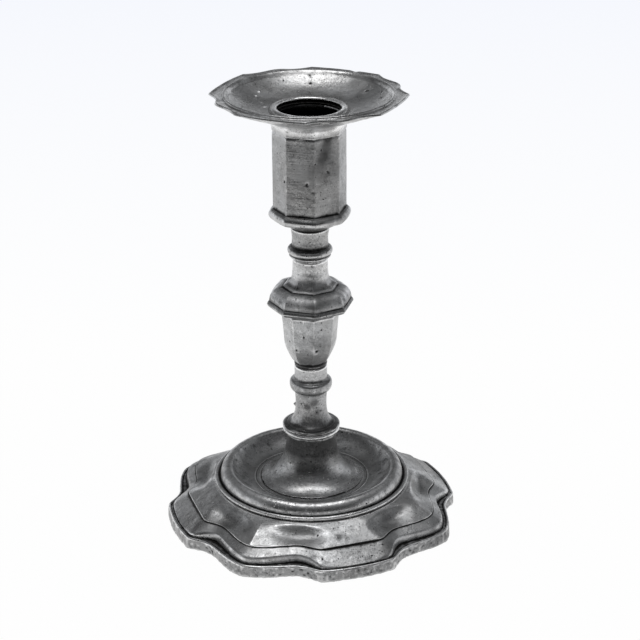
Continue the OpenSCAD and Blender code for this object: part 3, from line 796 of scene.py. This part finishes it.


# most of these are painted light: painted shade darkens the foot's back and the band on its right, and a painted
# highlight lightens the front slope
footStainsAndPaintedLight = [
    (-8, 40.0, 11.4, 3.6, -0.2),
    (-16, 47.0, 8.5, 7.0, 0.18),
    (34, 49.0, 7.0, 4.0, -0.4),
    (20, 48.5, 7.0, 8.0, -0.25),
    (66, 54.6, 2.0, 12.0, -0.35),
    (120, 50.0, 7.0, 14.0, -0.45),
    (165, 50.0, 7.0, 14.0, -0.35),
    (-110, 50.0, 7.0, 14.0, -0.4),
    (-160, 50.0, 7.0, 14.0, -0.35),
]
# painted shade in the scoop over each valley, darkening the lamp's reflection there
for k in range(4):
    for side in (-1, 1):
        turn = foot["lobeTurnDeg"] + 90 * k + side * foot["valleyDeg"]
        if abs(turn + 6.5) > 1:
            footStainsAndPaintedLight.append((turn, 39.6, 11.0, 4.2, -0.5))
look = makeLook(11, 1.12, [(-1, 3.9, 0.1, 0.2, -0.4)], fine=5, soften=0, stainsAndPaintedLight=footStainsAndPaintedLight)
look["unevenness"] += [(0.8, 0.010, 14)]
look["rough"] = {"below": foot["bandH"] - 0.3, "size": 1.1, "depth": 0.15, "seed": 17}
addPiece("footCasting", makeFoot(), "foot", pittedPewter, look)


# Well dish

dish = {
    "sweepSteps": 600,
    "beadR": 35.0,
    "beadW": 0.75,
    "spigotR": 33.0,
    "spigotH": 2.0,
    "rollOutR": 33.6,
    "rollR": 30.5,
    "rollH": 5.1,
    "ringR": 20.6,
    "holeR": 15.1,
    "wall": 1.9,
}


def makeDish():
    z = topOf("foot_solder")
    beadZ = z + dish["beadW"]
    crest = topOf("well_dish")
    under = z - dish["spigotH"]
    roll = dish["rollR"]
    wall = dish["wall"]
    spigot = dish["spigotR"]
    shown = arc((dish["beadR"], beadZ), dish["beadW"], -90, 150, 14)
    shown += [(dish["rollOutR"] + 0.3, beadZ - 0.2)]
    shown += quarter((dish["rollOutR"], beadZ + 0.3), (roll, crest), True, 18)
    shown += arc((roll - 0.1, crest - 1.7), 1.7, 88, 148, 8)
    shown += bend((roll - 1.6, crest - 0.9), (roll - 4.4, z + 0.1), (dish["ringR"] + 0.7, z), 26)
    shown += [(dish["ringR"] + 0.15, z + 0.12), (dish["ringR"], z - 0.2), (dish["ringR"] - 0.35, z - 0.05)]
    shown += [(dish["ringR"] - 1.6, z)]
    hidden = [(dish["ringR"] - 1.6, z), (dish["holeR"], z), (dish["holeR"], z - wall), (dish["ringR"] + 0.5, z - wall)]
    hidden += quarter((dish["ringR"] + 2, z - wall), (roll - 1.5, crest - wall), False, 8)
    hidden += [(roll + 0.8, crest - wall), (spigot - wall, z), (spigot - wall, under), (spigot, under)]
    hidden += [(spigot, z), (dish["beadR"], z)]
    profile = refine(shown, 0.28) + refine(hidden, 1.6)[1:]
    return turnedMesh("wellDish", flatly(profile, 0), dish["sweepSteps"], plainPewter)


# painted shade darkens the roll's sides and its back
addPiece("wellDish", makeDish(), "well_dish", pittedPewter, makeLook(23, 0.92, soften=1, stainsAndPaintedLight=[
    (85, 32.0, 17.0, 13.0, -0.4),
    (-85, 32.0, 17.0, 13.0, -0.4),
    (150, 27.0, 15.0, 9.0, -0.35),
    (-150, 27.0, 15.0, 9.0, -0.35),
]))


# Pedestal

stem = {
    "holeR": 2.6,
    "spigotR": 4.4,
    "spigotH": 3.0,
    "recessR": 4.5,
}

pedestal = {
    "sweepSteps": 480,
    "footR": 19.2,
    "topR": 8.9,
    "curveH": 18.6,
    "bow": 2.3,
    "beadR": 10.35,
    "beadH": 1.8,
    "spigotR": 15.0,
    "wall": 2.0,
}


def pedestalCurve(z, foot, top, h, n):
    out = []
    for i in range(n + 1):
        s = 1 - (i / n) ** 1.6
        out.append((top + (foot - top) * (1 - math.sqrt(1 - s ** pedestal["bow"])), z + h * (1 - s)))
    return out


def makePedestal():
    z = topOf("pedestal_solder")
    low = bottomOf("pedestal")
    curveH = pedestal["curveH"]
    half = pedestal["beadH"] / 2
    top = z + curveH + pedestal["beadH"]
    edge = pedestal["beadR"] - half
    shown = pedestalCurve(z, pedestal["footR"], pedestal["topR"], curveH, 40)
    shown += [(pedestal["topR"] + 0.25, z + curveH + 0.1)]
    shown += arc((edge, z + curveH + half), half, -62, 66, 9)
    shown += [(edge - 0.1, top)]
    hidden = [(edge - 0.1, top), (stem["spigotR"], top), (stem["spigotR"], top + stem["spigotH"])]
    hidden += [(stem["holeR"], top + stem["spigotH"]), (stem["holeR"], z + curveH * 0.8 + 1)]
    inside = pedestalCurve(z, pedestal["spigotR"] - pedestal["wall"], stem["recessR"], curveH * 0.8, 12)
    hidden += inside[::-1]
    hidden += [(pedestal["spigotR"] - pedestal["wall"], low), (pedestal["spigotR"], low)]
    hidden += [(pedestal["spigotR"], z), (pedestal["footR"], z)]
    profile = refine(shown, 0.26) + refine(hidden, 1.6)[1:]
    return turnedMesh("pedestalCone", flatly(profile, 0), pedestal["sweepSteps"], plainPewter)


# the belt is painted shade, darkening the top of the cone under the bead
addPiece("pedestalCone", makePedestal(), "pedestal", turnedPewter, makeLook(31, 1.05, [(19.5, 32.5, 7, 0.3, -0.88)]))


# Closes the outline of a stem casting through its spigot, its hole and its recess

def closeStem(shown, z, top, spigotTop):
    hidden = [(shown[-1][0], top), (stem["spigotR"], top), (stem["spigotR"], spigotTop), (stem["holeR"], spigotTop)]
    depth = stem["spigotH"] + 0.1
    hidden += [(stem["holeR"], z + depth), (stem["recessR"], z + depth), (stem["recessR"], z), (shown[0][0], z)]
    return refine(hidden, 1.4)[1:]


# Lower stem

lowerStem = {
    "sweepSteps": 360,
    "collarR": 10.4,
    "collarH": 1.2,
    "spoolH": 13.4,
    "spoolR": 5.6,
    "spoolFootR": 8.8,
    "waistShare": 0.56,       # height of the waist as a share of the spool's
    "ringR": 7.7,
    "ringH": 4.0,
    "drumR": 5.9,
    "pipDeg": -96,            # a pip of metal left on the spool's left side
    "pipZ": 43.0,
    "pipR": 0.55,
}


def makeLowerStem():
    z = bottomOf("lower_stem")
    top = bottomOf("baluster_solder")
    collar = lowerStem["collarR"]
    spoolZ = z + lowerStem["collarH"]
    waist = spoolZ + lowerStem["spoolH"] * lowerStem["waistShare"]
    ringZ = spoolZ + lowerStem["spoolH"]
    ringH = lowerStem["ringH"]
    ring = lowerStem["ringR"]
    drum = lowerStem["drumR"]
    spoolFoot = lowerStem["spoolFootR"]
    shown = [(collar - 0.4, z)]
    shown += quarter((collar - 0.3, z + 0.02), (collar, z + 0.25), False, 4)
    shown += quarter((collar, z + 0.3), (spoolFoot + 0.1, spoolZ - 0.15), True, 10)
    shown += [(spoolFoot - 0.1, spoolZ - 0.2)]
    shown += quarter((spoolFoot - 0.15, spoolZ), (lowerStem["spoolR"], waist), False, 22)
    shown += quarter((lowerStem["spoolR"], waist + 0.5), (lowerStem["spoolR"] + 0.7, ringZ - 0.15), True, 12)
    shown += quarter((lowerStem["spoolR"] + 1.3, ringZ), (ring, ringZ + ringH * 0.58), False, 10)
    shown += quarter((ring, ringZ + ringH * 0.64), (drum + 0.95, ringZ + ringH - 0.2), True, 8)
    shown += bend((drum + 0.85, ringZ + ringH - 0.15), (drum, ringZ + ringH + 0.05), (drum, ringZ + ringH + 1.6), 6)
    shown += [(drum, top)]
    profile = refine(shown, 0.24) + closeStem(shown, z, top, topOf("lower_stem"))
    return turnedMesh("lowerStem", flatly(profile, 0), lowerStem["sweepSteps"], plainPewter)


# the dark belt low on the stem is painted shade over the collar, under the spool's foot
addPiece("lowerStem", makeLowerStem(), "lower_stem", turnedPewter,
         makeLook(41, 0.80, [(53.6, 60, 0.5, 0.3, 0.3), (35.8, 37.3, 0.2, 0.5, -0.65)],
                  soften=2, seams=[(53.4, 1.3)],
                  dents=[(lowerStem["pipDeg"], lowerStem["spoolR"], lowerStem["pipZ"], lowerStem["pipR"], -0.8)],
                  stainsAndPaintedLight=[
                      (lowerStem["pipDeg"], lowerStem["spoolR"] + 0.8, lowerStem["pipZ"], 0.8, -0.85),
                      (-15, 5.8, 44.5, 1.1, -0.5),
                      (12, 5.8, 46.0, 1.3, -0.5),
                      (25, 5.9, 42.5, 1.2, -0.5),
                      (20, 7.0, 38.0, 2.6, -0.35),
                      (48, 7.2, 38.5, 2.4, -0.35),
                  ]))


# Baluster

baluster = {
    "sweepSteps": 384,
    "collarR": 5.95,
    "collarH": 1.5,
    "footR": 6.4,
    "midR": 9.5,
    "topR": 10.6,
    "swellH": 9.0,
    "flat": 0.94,             # how flat its eight sides are
}


def makeBaluster():
    z = bottomOf("baluster")
    top = bottomOf("knop_solder")
    swell = baluster["swellH"]
    neck = baluster["collarR"]
    lip = z + baluster["collarH"]
    collar = refine([(neck, z), (neck, lip - 0.35), (neck - 0.35, lip - 0.1)], 0.2)
    shown = []
    for i in range(25):
        t = i / 24
        shown.append((baluster["footR"] + (baluster["midR"] - baluster["footR"]) * (t + math.sin(math.pi / 2 * t)) / 2,
                      lip + (swell - baluster["collarH"]) * t))
    for i in range(1, 21):
        t = i / 20
        shown.append((baluster["midR"] + (baluster["topR"] - baluster["midR"]) * t ** 1.3,
                      z + swell + (top - z - swell) * t))
    shown[-1] = (baluster["topR"] - 0.1, top)
    body = flatly(soften(refine(shown, 0.25), 6, 2), baluster["flat"])
    rest = flatly(closeStem(collar[:1] + shown[1:], z, top, topOf("baluster")), 0)
    return turnedMesh("baluster", flatly(collar, 0) + body + rest, baluster["sweepSteps"], plainPewter)


# painted shade: the first belt darkens the crevice above the drum, the second the top under the knop, and the two
# stains the front face
addPiece("baluster", makeBaluster(), "baluster", plainPewter, makeLook(53, 1.28, [(59.6, 61.7, 0.2, 0.4, -0.9), (75.5, 84, 5, 0.5, -0.35)], soften=6, stainsAndPaintedLight=[
    (7, 9.5, 68, 8, -0.36),
    (30, 9.5, 70, 5, -0.2),
], dents=[
    (-34, 8.6, 67.9, 0.5, 0.5),
    (14, 8.6, 67.8, 0.55, 0.55),
    (-15, 9.4, 73.4, 0.4, 0.35),
]))


# Knop

knop = {
    "sweepSteps": 480,
    "lipR": 10.9,
    "rimR": 15.6,
    "underH": 0.9,
    "rimH": 2.6,
    "shoulderH": 5.5,
    "shoulderTopR": 10.8,
    "tierR": 9.8,
    "tierH": 5.3,
    "neckR": 6.15,
    "bulge": 0.35,            # how far the shoulder's sides swell towards a round
}


def makeKnop():
    z = bottomOf("knop")
    top = bottomOf("neck_solder")
    rimZ = z + knop["underH"]
    shoulderZ = rimZ + knop["rimH"]
    tierZ = shoulderZ + knop["shoulderH"]
    roundZ = tierZ + knop["tierH"]
    lip = knop["lipR"]
    rim = knop["rimR"]
    shown = [(lip - 0.25, z), (lip, z + 0.15), (lip, z + 0.3), (lip - 0.15, z + 0.45)]
    shown += quarter((lip, rimZ - 0.35), (rim - 0.3, rimZ + knop["rimH"] * 0.42), False, 14)
    shown += arc((rim - 0.45, rimZ + knop["rimH"] * 0.6), 0.45, -40, 40, 4)
    shown += [(rim - 0.3, shoulderZ - 0.15), (rim - 0.62, shoulderZ + 0.05)]
    shown += quarter((rim - 0.8, shoulderZ + 0.25), (knop["shoulderTopR"], tierZ - 0.3), True, 20)
    shown += [(knop["tierR"] + 0.15, tierZ - 0.1), (knop["tierR"] - 0.05, tierZ + 0.15)]
    shown += quarter((knop["tierR"] - 0.15, tierZ + 0.5), (knop["neckR"] + 0.25, roundZ), False, 16)
    octagonal = flatly(refine(shown, 0.25), 1)
    neckRows = flatly(refine([(knop["neckR"] + 0.1, roundZ + 0.5), (knop["neckR"], top - 1.2),
                              (knop["neckR"] + 0.05, top)], 0.28), 0)
    blended = []
    for r, height, flat in octagonal:
        toRound = min(1, max(0, (roundZ - height) / (knop["tierH"] * 0.9)))
        fromRim = min(1, max(0, (height - shoulderZ - 0.3) / (knop["shoulderH"] - 0.6)))
        bulge = knop["bulge"] * math.sin(math.pi * fromRim) ** 0.6
        blended.append((r, height, flat * toRound ** 1.8 * (1 - bulge)))
    rest = flatly(closeStem([(lip - 0.25, z), (knop["neckR"] + 0.05, top)], z, top, topOf("knop")), 0)
    return turnedMesh("knop", blended + neckRows + rest[:-1] + [(lip - 0.25, z, 1)],
                      knop["sweepSteps"], plainPewter)


# painted shade darkens the knop's underside and rim, and the first stain is a painted highlight on the shoulder's left
# front
addPiece("knop", makeKnop(), "knop", darkPewter, makeLook(61, 0.92, [(93, 101, 1.5, 1.5, 0.6), (76, 83.2, 0.3, 0.3, -0.3), (83.2, 85.9, 0.3, 0.5, -0.5)], soften=5,
         stainsAndPaintedLight=[(-18, 13.2, 88.5, 3.0, 0.5), (24, 13.0, 89, 3.0, -0.3)]))


# Upper neck

upperNeck = {
    "sweepSteps": 360,
    "ringR": 8.0,
    "ringH": 4.3,
    "neckR": 6.35,
    "flareR": 6.9,
}


def makeUpperNeck():
    z = bottomOf("upper_neck")
    top = bottomOf("socket_solder")
    ring = upperNeck["ringR"]
    ringTop = z + upperNeck["ringH"]
    neck = upperNeck["neckR"]
    neckH = top - ringTop
    shown = [(ring - 0.8, z)]
    shown += arc((ring - 1.0, z + 0.75), 0.45, -70, 60, 7)
    shown += [(ring - 0.75, z + 1.3)]
    shown += arc((ring - 1.25, z + upperNeck["ringH"] * 0.6), 1.25, -50, 66, 12)
    shown += [(neck + 0.35, ringTop - 0.1), (neck + 0.15, ringTop + 0.35)]
    shown += [(neck, ringTop + neckH * 0.4), (neck + 0.1, ringTop + neckH * 0.62), (upperNeck["flareR"], top)]
    profile = refine(shown, 0.24) + closeStem(shown, z, top, topOf("upper_neck"))
    return turnedMesh("upperNeck", flatly(profile, 0), upperNeck["sweepSteps"], plainPewter)


# the second belt is painted shade in the crevice above the ring
addPiece("upperNeck", makeUpperNeck(), "upper_neck", nettedPewter, makeLook(71, 0.75, [(107, 113, 0.4, 0.4, 0.2), (104.4, 106.3, 0.4, 0.4, -0.55)], depth=1.5, soften=2))


# Candle socket

socket = {
    "sweepSteps": 480,
    "footR": 6.9,
    "cornerR": 12.95,
    "rollR": 14.6,
    "underH": 3.0,
    "rollH": 4.0,
    "tenonR": 11.9,
    "boreR": 11.0,
    "boreDepth": 32.4,
    "rollFlat": 0.62,         # how far the roll follows the eight sides
    "wallFlat": 0.93,
}


def makeSocket():
    z = bottomOf("candle_socket")
    wallTop = bottomOf("drip_pan")
    top = topOf("candle_socket")
    rollZ = z + socket["underH"]
    half = socket["rollH"] / 2
    roll = socket["rollR"]
    corner = socket["cornerR"]
    soft = socket["rollFlat"]
    floor = top - socket["boreDepth"]
    under = refine([(socket["footR"], z), (roll - half - 0.3, rollZ - 0.1)], 0.3)
    profile = [(r, h, soft * min(1, (h - z) / socket["underH"])) for r, h in under]
    profile += flatly(refine(arc((roll - half, rollZ + half), half, -75, 78, 16), 0.25), soft)
    profile += flatly([(corner + 0.12, rollZ + socket["rollH"] - 0.05)], 0.85)
    profile += flatly(refine([(corner, rollZ + socket["rollH"] + 0.2), (corner, wallTop)], 0.34), socket["wallFlat"])
    hidden = [(corner, wallTop), (socket["tenonR"], wallTop), (socket["tenonR"], top), (socket["boreR"], top)]
    recessTop = z + stem["spigotH"] + 0.1
    profile += flatly(refine(hidden + [(socket["boreR"], floor), (0, floor)], 0.9)[1:], 0)
    profile += flatly(refine([(0, recessTop), (stem["recessR"], recessTop), (stem["recessR"], z),
                              (socket["footR"], z)], 0.9), 0)
    profile[-1] = profile[0]
    return turnedMesh("candleSocket", profile, socket["sweepSteps"], plainPewter)


# the belt is a painted highlight that lightens the top of the socket under the pan
look = makeLook(83, 0.80, [(145.0, 160, 6.0, 0.3, 0.9)], soften=7, fineReach=0.18, seams=[(bottomOf("drip_pan"), 1.5)], stainsAndPaintedLight=[
    (27, 12.4, 137, 5.0, -0.40),
    (32, 12.5, 147.5, 2.2, -0.75),
    (29, 12.5, 144, 2.0, -0.5),
    (22, 12.4, 141, 2.2, -0.5),
    (60, 13.6, 120, 5.0, -0.4),
], dents=[
    (31, 12.4, 135.5, 0.6, 0.35),
    (-44, 12.4, 131.4, 0.55, 0.4),
    (-25, 12.4, 149, 0.5, 0.4),
    (-4, 12.4, 131.5, 0.5, 0.35),
    (6, 12.4, 129, 0.45, 0.3),
])
look["soot"] = {"radius": 11.3, "below": 200, "tone": 0.03}
addPiece("candleSocket", makeSocket(), "candle_socket", filedPewter, look)


# Drip pan

pan = {
    "sweepSteps": 552,
    "turnDeg": 1.5,           # the points, from the front to the viewer's left
    "edgeR": 34.3,
    "valley": 2.3,
    "lobe": 0.9,
    "secondValley": 1.9,
    "scallop": 1.5,
    "edgeH": 12.7,
    "beadR": 29.1,
    "beadTop": 0.3,
    "beadW": 0.5,
    "flangeT": 0.75,
    "flangeDip": 0.35,
    "floorH": 6.8,
    "floorR": 14.5,
    "dishR": 25.1,
    "dishLowDeg": 4,          # slope of the dish at its floor and at its rim
    "dishHighDeg": 38.3,
    "lipR": 13.6,
    "holeR": 11.1,
    "lowHoleR": 12.0,
    "lipT": 1.8,
    "lipRound": 1.25,
    "straightH": 0.8,
    "flareH": 4.2,            # over this height the eight sides turn round
    "flareW": 3.2,
}


def panOutline(psi):
    edge = pan["edgeR"]
    valley = edge - pan["valley"]
    lobe = edge - pan["lobe"]
    second = edge - pan["secondValley"]
    hollow = edge - pan["scallop"]
    parts = [
        valley + pan["valley"] * (np.clip(12 - psi, 0, 12) / 12) ** 2,
        valley + (lobe - valley) * (1 - np.cos(np.radians(18 * (psi - 12)))) / 2,
        second + (lobe - second) * (1 + np.cos(math.pi * (psi - 22) / 13)) / 2,
        second + pan["secondValley"] * ((psi - 35) / 10) ** 2,
        hollow + pan["scallop"] * (np.abs(psi - 67.5) / 22.5) ** 2,
    ]
    return np.select([psi < 12, psi < 22, psi < 35, psi < 45], parts[:4], parts[4])


def makePan():
    steps = pan["sweepSteps"]
    psi = np.arange(steps) * 360 / steps % 90
    edge = panOutline(psi)
    angles = sweepAngles(steps, -90 - pan["turnDeg"])
    z = bottomOf("drip_pan")
    edgeZ = z + pan["edgeH"]
    floor = z + pan["floorH"]
    lip = topOf("pan_solder") + pan["lipT"]
    bead = pan["beadR"]
    beadZ = edgeZ + pan["beadTop"] - pan["beadW"]
    corner = socket["cornerR"]
    lipR = pan["lipR"]

    # the lowest rows follow the eight sides of the socket
    side = np.radians(45)
    fromMiddle = (angles - np.radians(octagon["turnDeg"] - 90)) % side - side / 2
    eightSided = 1 + socket["wallFlat"] * (math.cos(side / 2) / np.cos(fromMiddle) - 1)
    low = corner * eightSided
    flareZ = z + pan["straightH"]
    rows = [(low, z)]
    rows += straightRows((low, z), (low, flareZ), 3)
    for i in range(1, 11):
        t = i / 10
        a = math.radians(60) * t
        out = pan["flareW"] * (1 - math.cos(a)) * 2
        toRound = t * t * (3 - 2 * t)
        rise = pan["flareH"] * math.sin(a) / math.sin(math.radians(60))
        rows.append((low + (corner - low) * toRound + out, flareZ + rise))
    under = edgeZ - pan["flangeT"]
    rows += straightRows(rows[-1], (bead + 1.6 + 0 * psi, edgeZ - 2.0), 34)
    rows += straightRows(rows[-1], (edge - 0.6, under - 0.15), 6)
    rows += curvedRows(rows[-1], (edge, under + 0.15), 3, False)
    rows += straightRows(rows[-1], (edge - 0.22, edgeZ - 0.15), 3)
    rows += curvedRows(rows[-1], (edge - 0.5, edgeZ), 3)
    rows += bentRows(rows[-1], (edge - 0.8, edgeZ), (edge - 1.3, edgeZ - pan["flangeDip"] * 0.7), 5)
    rows += straightRows(rows[-1], (bead + 1.3 + 0 * psi, edgeZ - pan["flangeDip"]), 8)
    rows += bentRows(rows[-1], (bead + 0.85 + 0 * psi, edgeZ - pan["flangeDip"] - 0.12),
                     (bead + pan["beadW"] + 0 * psi, beadZ - 0.1), 3)
    flat = math.radians(pan["dishLowDeg"])
    centre = (pan["floorR"] - pan["dishR"] * math.sin(flat), floor + pan["dishR"] * math.cos(flat))
    dish = refine(arc(centre, pan["dishR"], pan["dishHighDeg"] - 92, pan["dishLowDeg"] - 90, 60), 0.32)
    beadRows = arc((bead, beadZ), pan["beadW"], 10, 100, 8)
    beadRows += bend(beadRows[-1], (bead - pan["beadW"] - 0.1, beadZ + pan["beadW"]), dish[0], 6)
    for r, h in beadRows + dish[1:]:
        rows.append((r + 0 * psi, h))
    rim = pan["lipRound"]
    lipRows = bend((lipR + 0.5, floor - 0.02), (lipR, floor), (lipR, floor + 0.3), 4)
    lipRows += arc((lipR - rim, lip - rim), rim, 8, 90, 8)
    lipRows += bend((pan["holeR"] + 0.6, lip - 0.05), (pan["holeR"], lip - 0.1), (pan["holeR"], lip - 0.7), 4)
    lipRows += [(pan["holeR"], topOf("pan_solder")), (pan["lowHoleR"], topOf("pan_solder") - 0.02)]
    lipRows += [(pan["lowHoleR"], (floor + z) / 2), (pan["lowHoleR"], z)]
    for r, h in lipRows:
        rows.append((r + 0 * psi, h))
    return ringMesh("dripPan", rows, angles)


# the first belt is a painted highlight that lightens the flare under the pan
panLook = makeLook(97, 1.15, [(148.2, 153.4, 2.6, 2.0, 1.1), (159.8, 162, 0.3, 0.3, -0.3)], soften=1, fineReach=0.2,
                   seams=[(bottomOf("drip_pan") + 2.0, 5.5), (159.6, 0.45)])
panLook["soot"] = {"radius": pan["holeR"] + 0.4, "below": topOf("pan_solder") + 1.0, "tone": 0.03}
panLook["dents"] = [
    # to the viewer's right from the front in degrees, radius, height, width and depth
    (-47, 33.6, 159.7, 1.0, 0.35),
    (12, 33.0, 159.7, 0.7, 0.25),
    (150, 32.6, 160.0, 1.2, 0.35),
    (95, 22.0, 154.8, 0.8, 0.20),
    (-160, 24.0, 155.6, 0.7, 0.22),
    (170, 20.0, 154.2, 0.6, 0.20),
    (179.6, 27.4, 158.4, 0.34, 0.40),
    (179.0, 26.8, 158.0, 0.30, 0.35),
    (179.0, 24.1, 156.9, 0.40, 0.35),
    (125, 24.0, 156.9, 0.35, 0.30),
    (123.6, 24.4, 157.1, 0.35, 0.30),
    (108, 26.5, 157.9, 0.35, 0.30),
    (98, 25.0, 157.3, 0.32, 0.30),
    (-123, 21.8, 156.0, 0.4, -0.28),
    (-114, 17.8, 155.1, 0.4, -0.25),
    (-131, 23.0, 156.4, 0.4, -0.28),
    (-101, 15.6, 154.5, 0.4, -0.25),
    (-104, 15.4, 154.5, 0.4, -0.25),
    (-100, 28.2, 158.8, 0.5, -0.30),
    (-102, 28.0, 158.7, 0.4, -0.30),
]
panLook["stainsAndPaintedLight"] = [(turn, r, h, w * 1.3, -0.8 if depth > 0 else 0.7)
                     for turn, r, h, w, depth in panLook["dents"][6:]]
panLook["stainsAndPaintedLight"] += [(-142, 25.0, 157.2, 5.0, -0.45), (140, 25.5, 157.6, 2.2, -0.35)]
addPiece("dripPan", makePan(), "drip_pan", plainPewter, panLook)


# Solder joints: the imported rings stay, with a dull finish

def makeSolder():
    material = bpy.data.materials.new("solder")
    material.use_nodes = True
    tree = material.node_tree
    tree.nodes.clear()
    where = addNode(tree, "ShaderNodeTexCoord").outputs["Object"]
    clouds = noiseAt(tree, where, 1.3, 4, 0.6)
    grain = noiseAt(tree, where, 0.3, 2, 0.6)
    colour = mixColours(tree, rampTo(tree, clouds, 0.35, 0.7), grey(0.05, 0.04), grey(0.15, 0.02))
    bump = addNode(tree, "ShaderNodeBump", {"Height": grain, "Strength": 0.5, "Distance": 0.05 * mm})
    shader = addNode(tree, "ShaderNodeBsdfPrincipled", {
        "Base Color": colour,
        "Metallic": 0.8,
        "Roughness": rampTo(tree, clouds, 0.3, 0.7, 0.45, 0.7),
        "Normal": bump.outputs["Normal"],
    })
    result = addNode(tree, "ShaderNodeOutputMaterial")
    tree.links.new(shader.outputs["BSDF"], result.inputs["Surface"])
    return material


solder = makeSolder()
for name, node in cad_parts.items():
    if name.endswith("_solder"):
        node.data.materials.clear()
        node.data.materials.append(solder)
print("solder finished")


# Floor, world, lamp and camera

studio = {
    "floorBack": 3.5,
    "floorFront": 0.36,       # the white sheet ends this far in front of the stick
    "floorGlow": 0.98,        # share of the floor's whiteness that its shadow leaves alone
    "horizonTopDeg": 13,      # the white backdrop reaches this high
    "darkFromDeg": 24,
    "darkLevel": 0.045,
    "zenithLevel": 0.30,
    "frontDark": -0.6,        # the room in front of the stick is dark
    "lampHeight": 0.95,
    "lampSize": 0.80,
    "lampLevel": 2.3,
    "lampY": -0.06,
}


def makeFloor():
    mesh = bpy.data.meshes.new("floor")
    back = studio["floorBack"]
    front = -studio["floorFront"]
    mesh.from_pydata([(-back, front, 0), (back, front, 0), (back, back, 0), (-back, back, 0)], [], [(0, 1, 2, 3)])
    floor = bpy.data.objects.new("floor", mesh)
    bpy.context.scene.collection.objects.link(floor)
    material = bpy.data.materials.new("paleFloor")
    material.use_nodes = True
    tree = material.node_tree
    tree.nodes.clear()
    where = addNode(tree, "ShaderNodeTexCoord").outputs["Object"]
    split = addNode(tree, "ShaderNodeSeparateXYZ", {0: where})
    far = rampTo(tree, split.outputs["Y"], 0.15, 1.1)
    tint = mixColours(tree, far, (1, 1, 1, 1), (0.905, 0.93, 1.0, 1))
    diffuse = addNode(tree, "ShaderNodeBsdfDiffuse", {"Color": tint})
    glow = addNode(tree, "ShaderNodeEmission", {"Color": tint, "Strength": 1.0})
    path = addNode(tree, "ShaderNodeLightPath")
    seen = mathNode(tree, "MAXIMUM", path.outputs["Is Camera Ray"], path.outputs["Is Glossy Ray"])
    seen = mathNode(tree, "MAXIMUM", seen, path.outputs["Is Transmission Ray"])
    share = mathNode(tree, "MULTIPLY", seen, studio["floorGlow"])
    mix = addNode(tree, "ShaderNodeMixShader", {0: share, 1: diffuse.outputs[0], 2: glow.outputs[0]})
    result = addNode(tree, "ShaderNodeOutputMaterial")
    tree.links.new(mix.outputs[0], result.inputs["Surface"])
    mesh.materials.append(material)


def makeWorld():
    world = bpy.data.worlds.new("studio")
    bpy.context.scene.world = world
    world.use_nodes = True
    tree = world.node_tree
    tree.nodes.clear()
    direction = addNode(tree, "ShaderNodeTexCoord").outputs["Generated"]
    split = addNode(tree, "ShaderNodeSeparateXYZ", {0: direction})
    low = math.sin(math.radians(studio["horizonTopDeg"]))
    high = math.sin(math.radians(studio["darkFromDeg"]))
    fade = rampTo(tree, split.outputs["Z"], low, high, 1 - studio["darkLevel"], 0)
    around = rampTo(tree, split.outputs["Y"], studio["frontDark"], studio["frontDark"] + 0.45)
    fade = mathNode(tree, "MULTIPLY", fade, around)
    top = rampTo(tree, split.outputs["Z"], high, 0.95, studio["darkLevel"], studio["zenithLevel"])
    level = mathNode(tree, "ADD", fade, top)
    glow = addNode(tree, "ShaderNodeBackground", {"Color": (0.96, 0.975, 1.0, 1), "Strength": level})
    result = addNode(tree, "ShaderNodeOutputWorld")
    tree.links.new(glow.outputs[0], result.inputs["Surface"])


def makeLamp():
    data = bpy.data.lights.new("overhead", "AREA")
    data.shape = "DISK"
    data.size = studio["lampSize"]
    area = math.pi * studio["lampSize"] ** 2 / 4
    data.energy = studio["lampLevel"] * math.pi * area
    lamp = bpy.data.objects.new("overhead", data)
    lamp.location = (0, studio["lampY"], studio["lampHeight"])
    bpy.context.scene.collection.objects.link(lamp)


view = {
    "place": (0.0034, -0.6036, 0.3335),
    "downDeg": 23.07,
    "rollDeg": -0.256,
    "lens": 103.32,
    "sensor": 36,
}


def makeCamera():
    data = bpy.data.cameras.new("camera")
    data.lens = view["lens"]
    data.sensor_width = view["sensor"]
    data.clip_start = 0.01
    camera = bpy.data.objects.new("camera", data)
    turn = Matrix.Rotation(math.radians(90 - view["downDeg"]), 4, "X")
    turn = turn @ Matrix.Rotation(math.radians(view["rollDeg"]), 4, "Z")
    camera.matrix_world = Matrix.Translation(view["place"]) @ turn
    bpy.context.scene.collection.objects.link(camera)
    bpy.context.scene.camera = camera


makeFloor()
makeWorld()
makeLamp()
makeCamera()
bpy.context.scene.view_settings.view_transform = "Standard"
print("studio set")
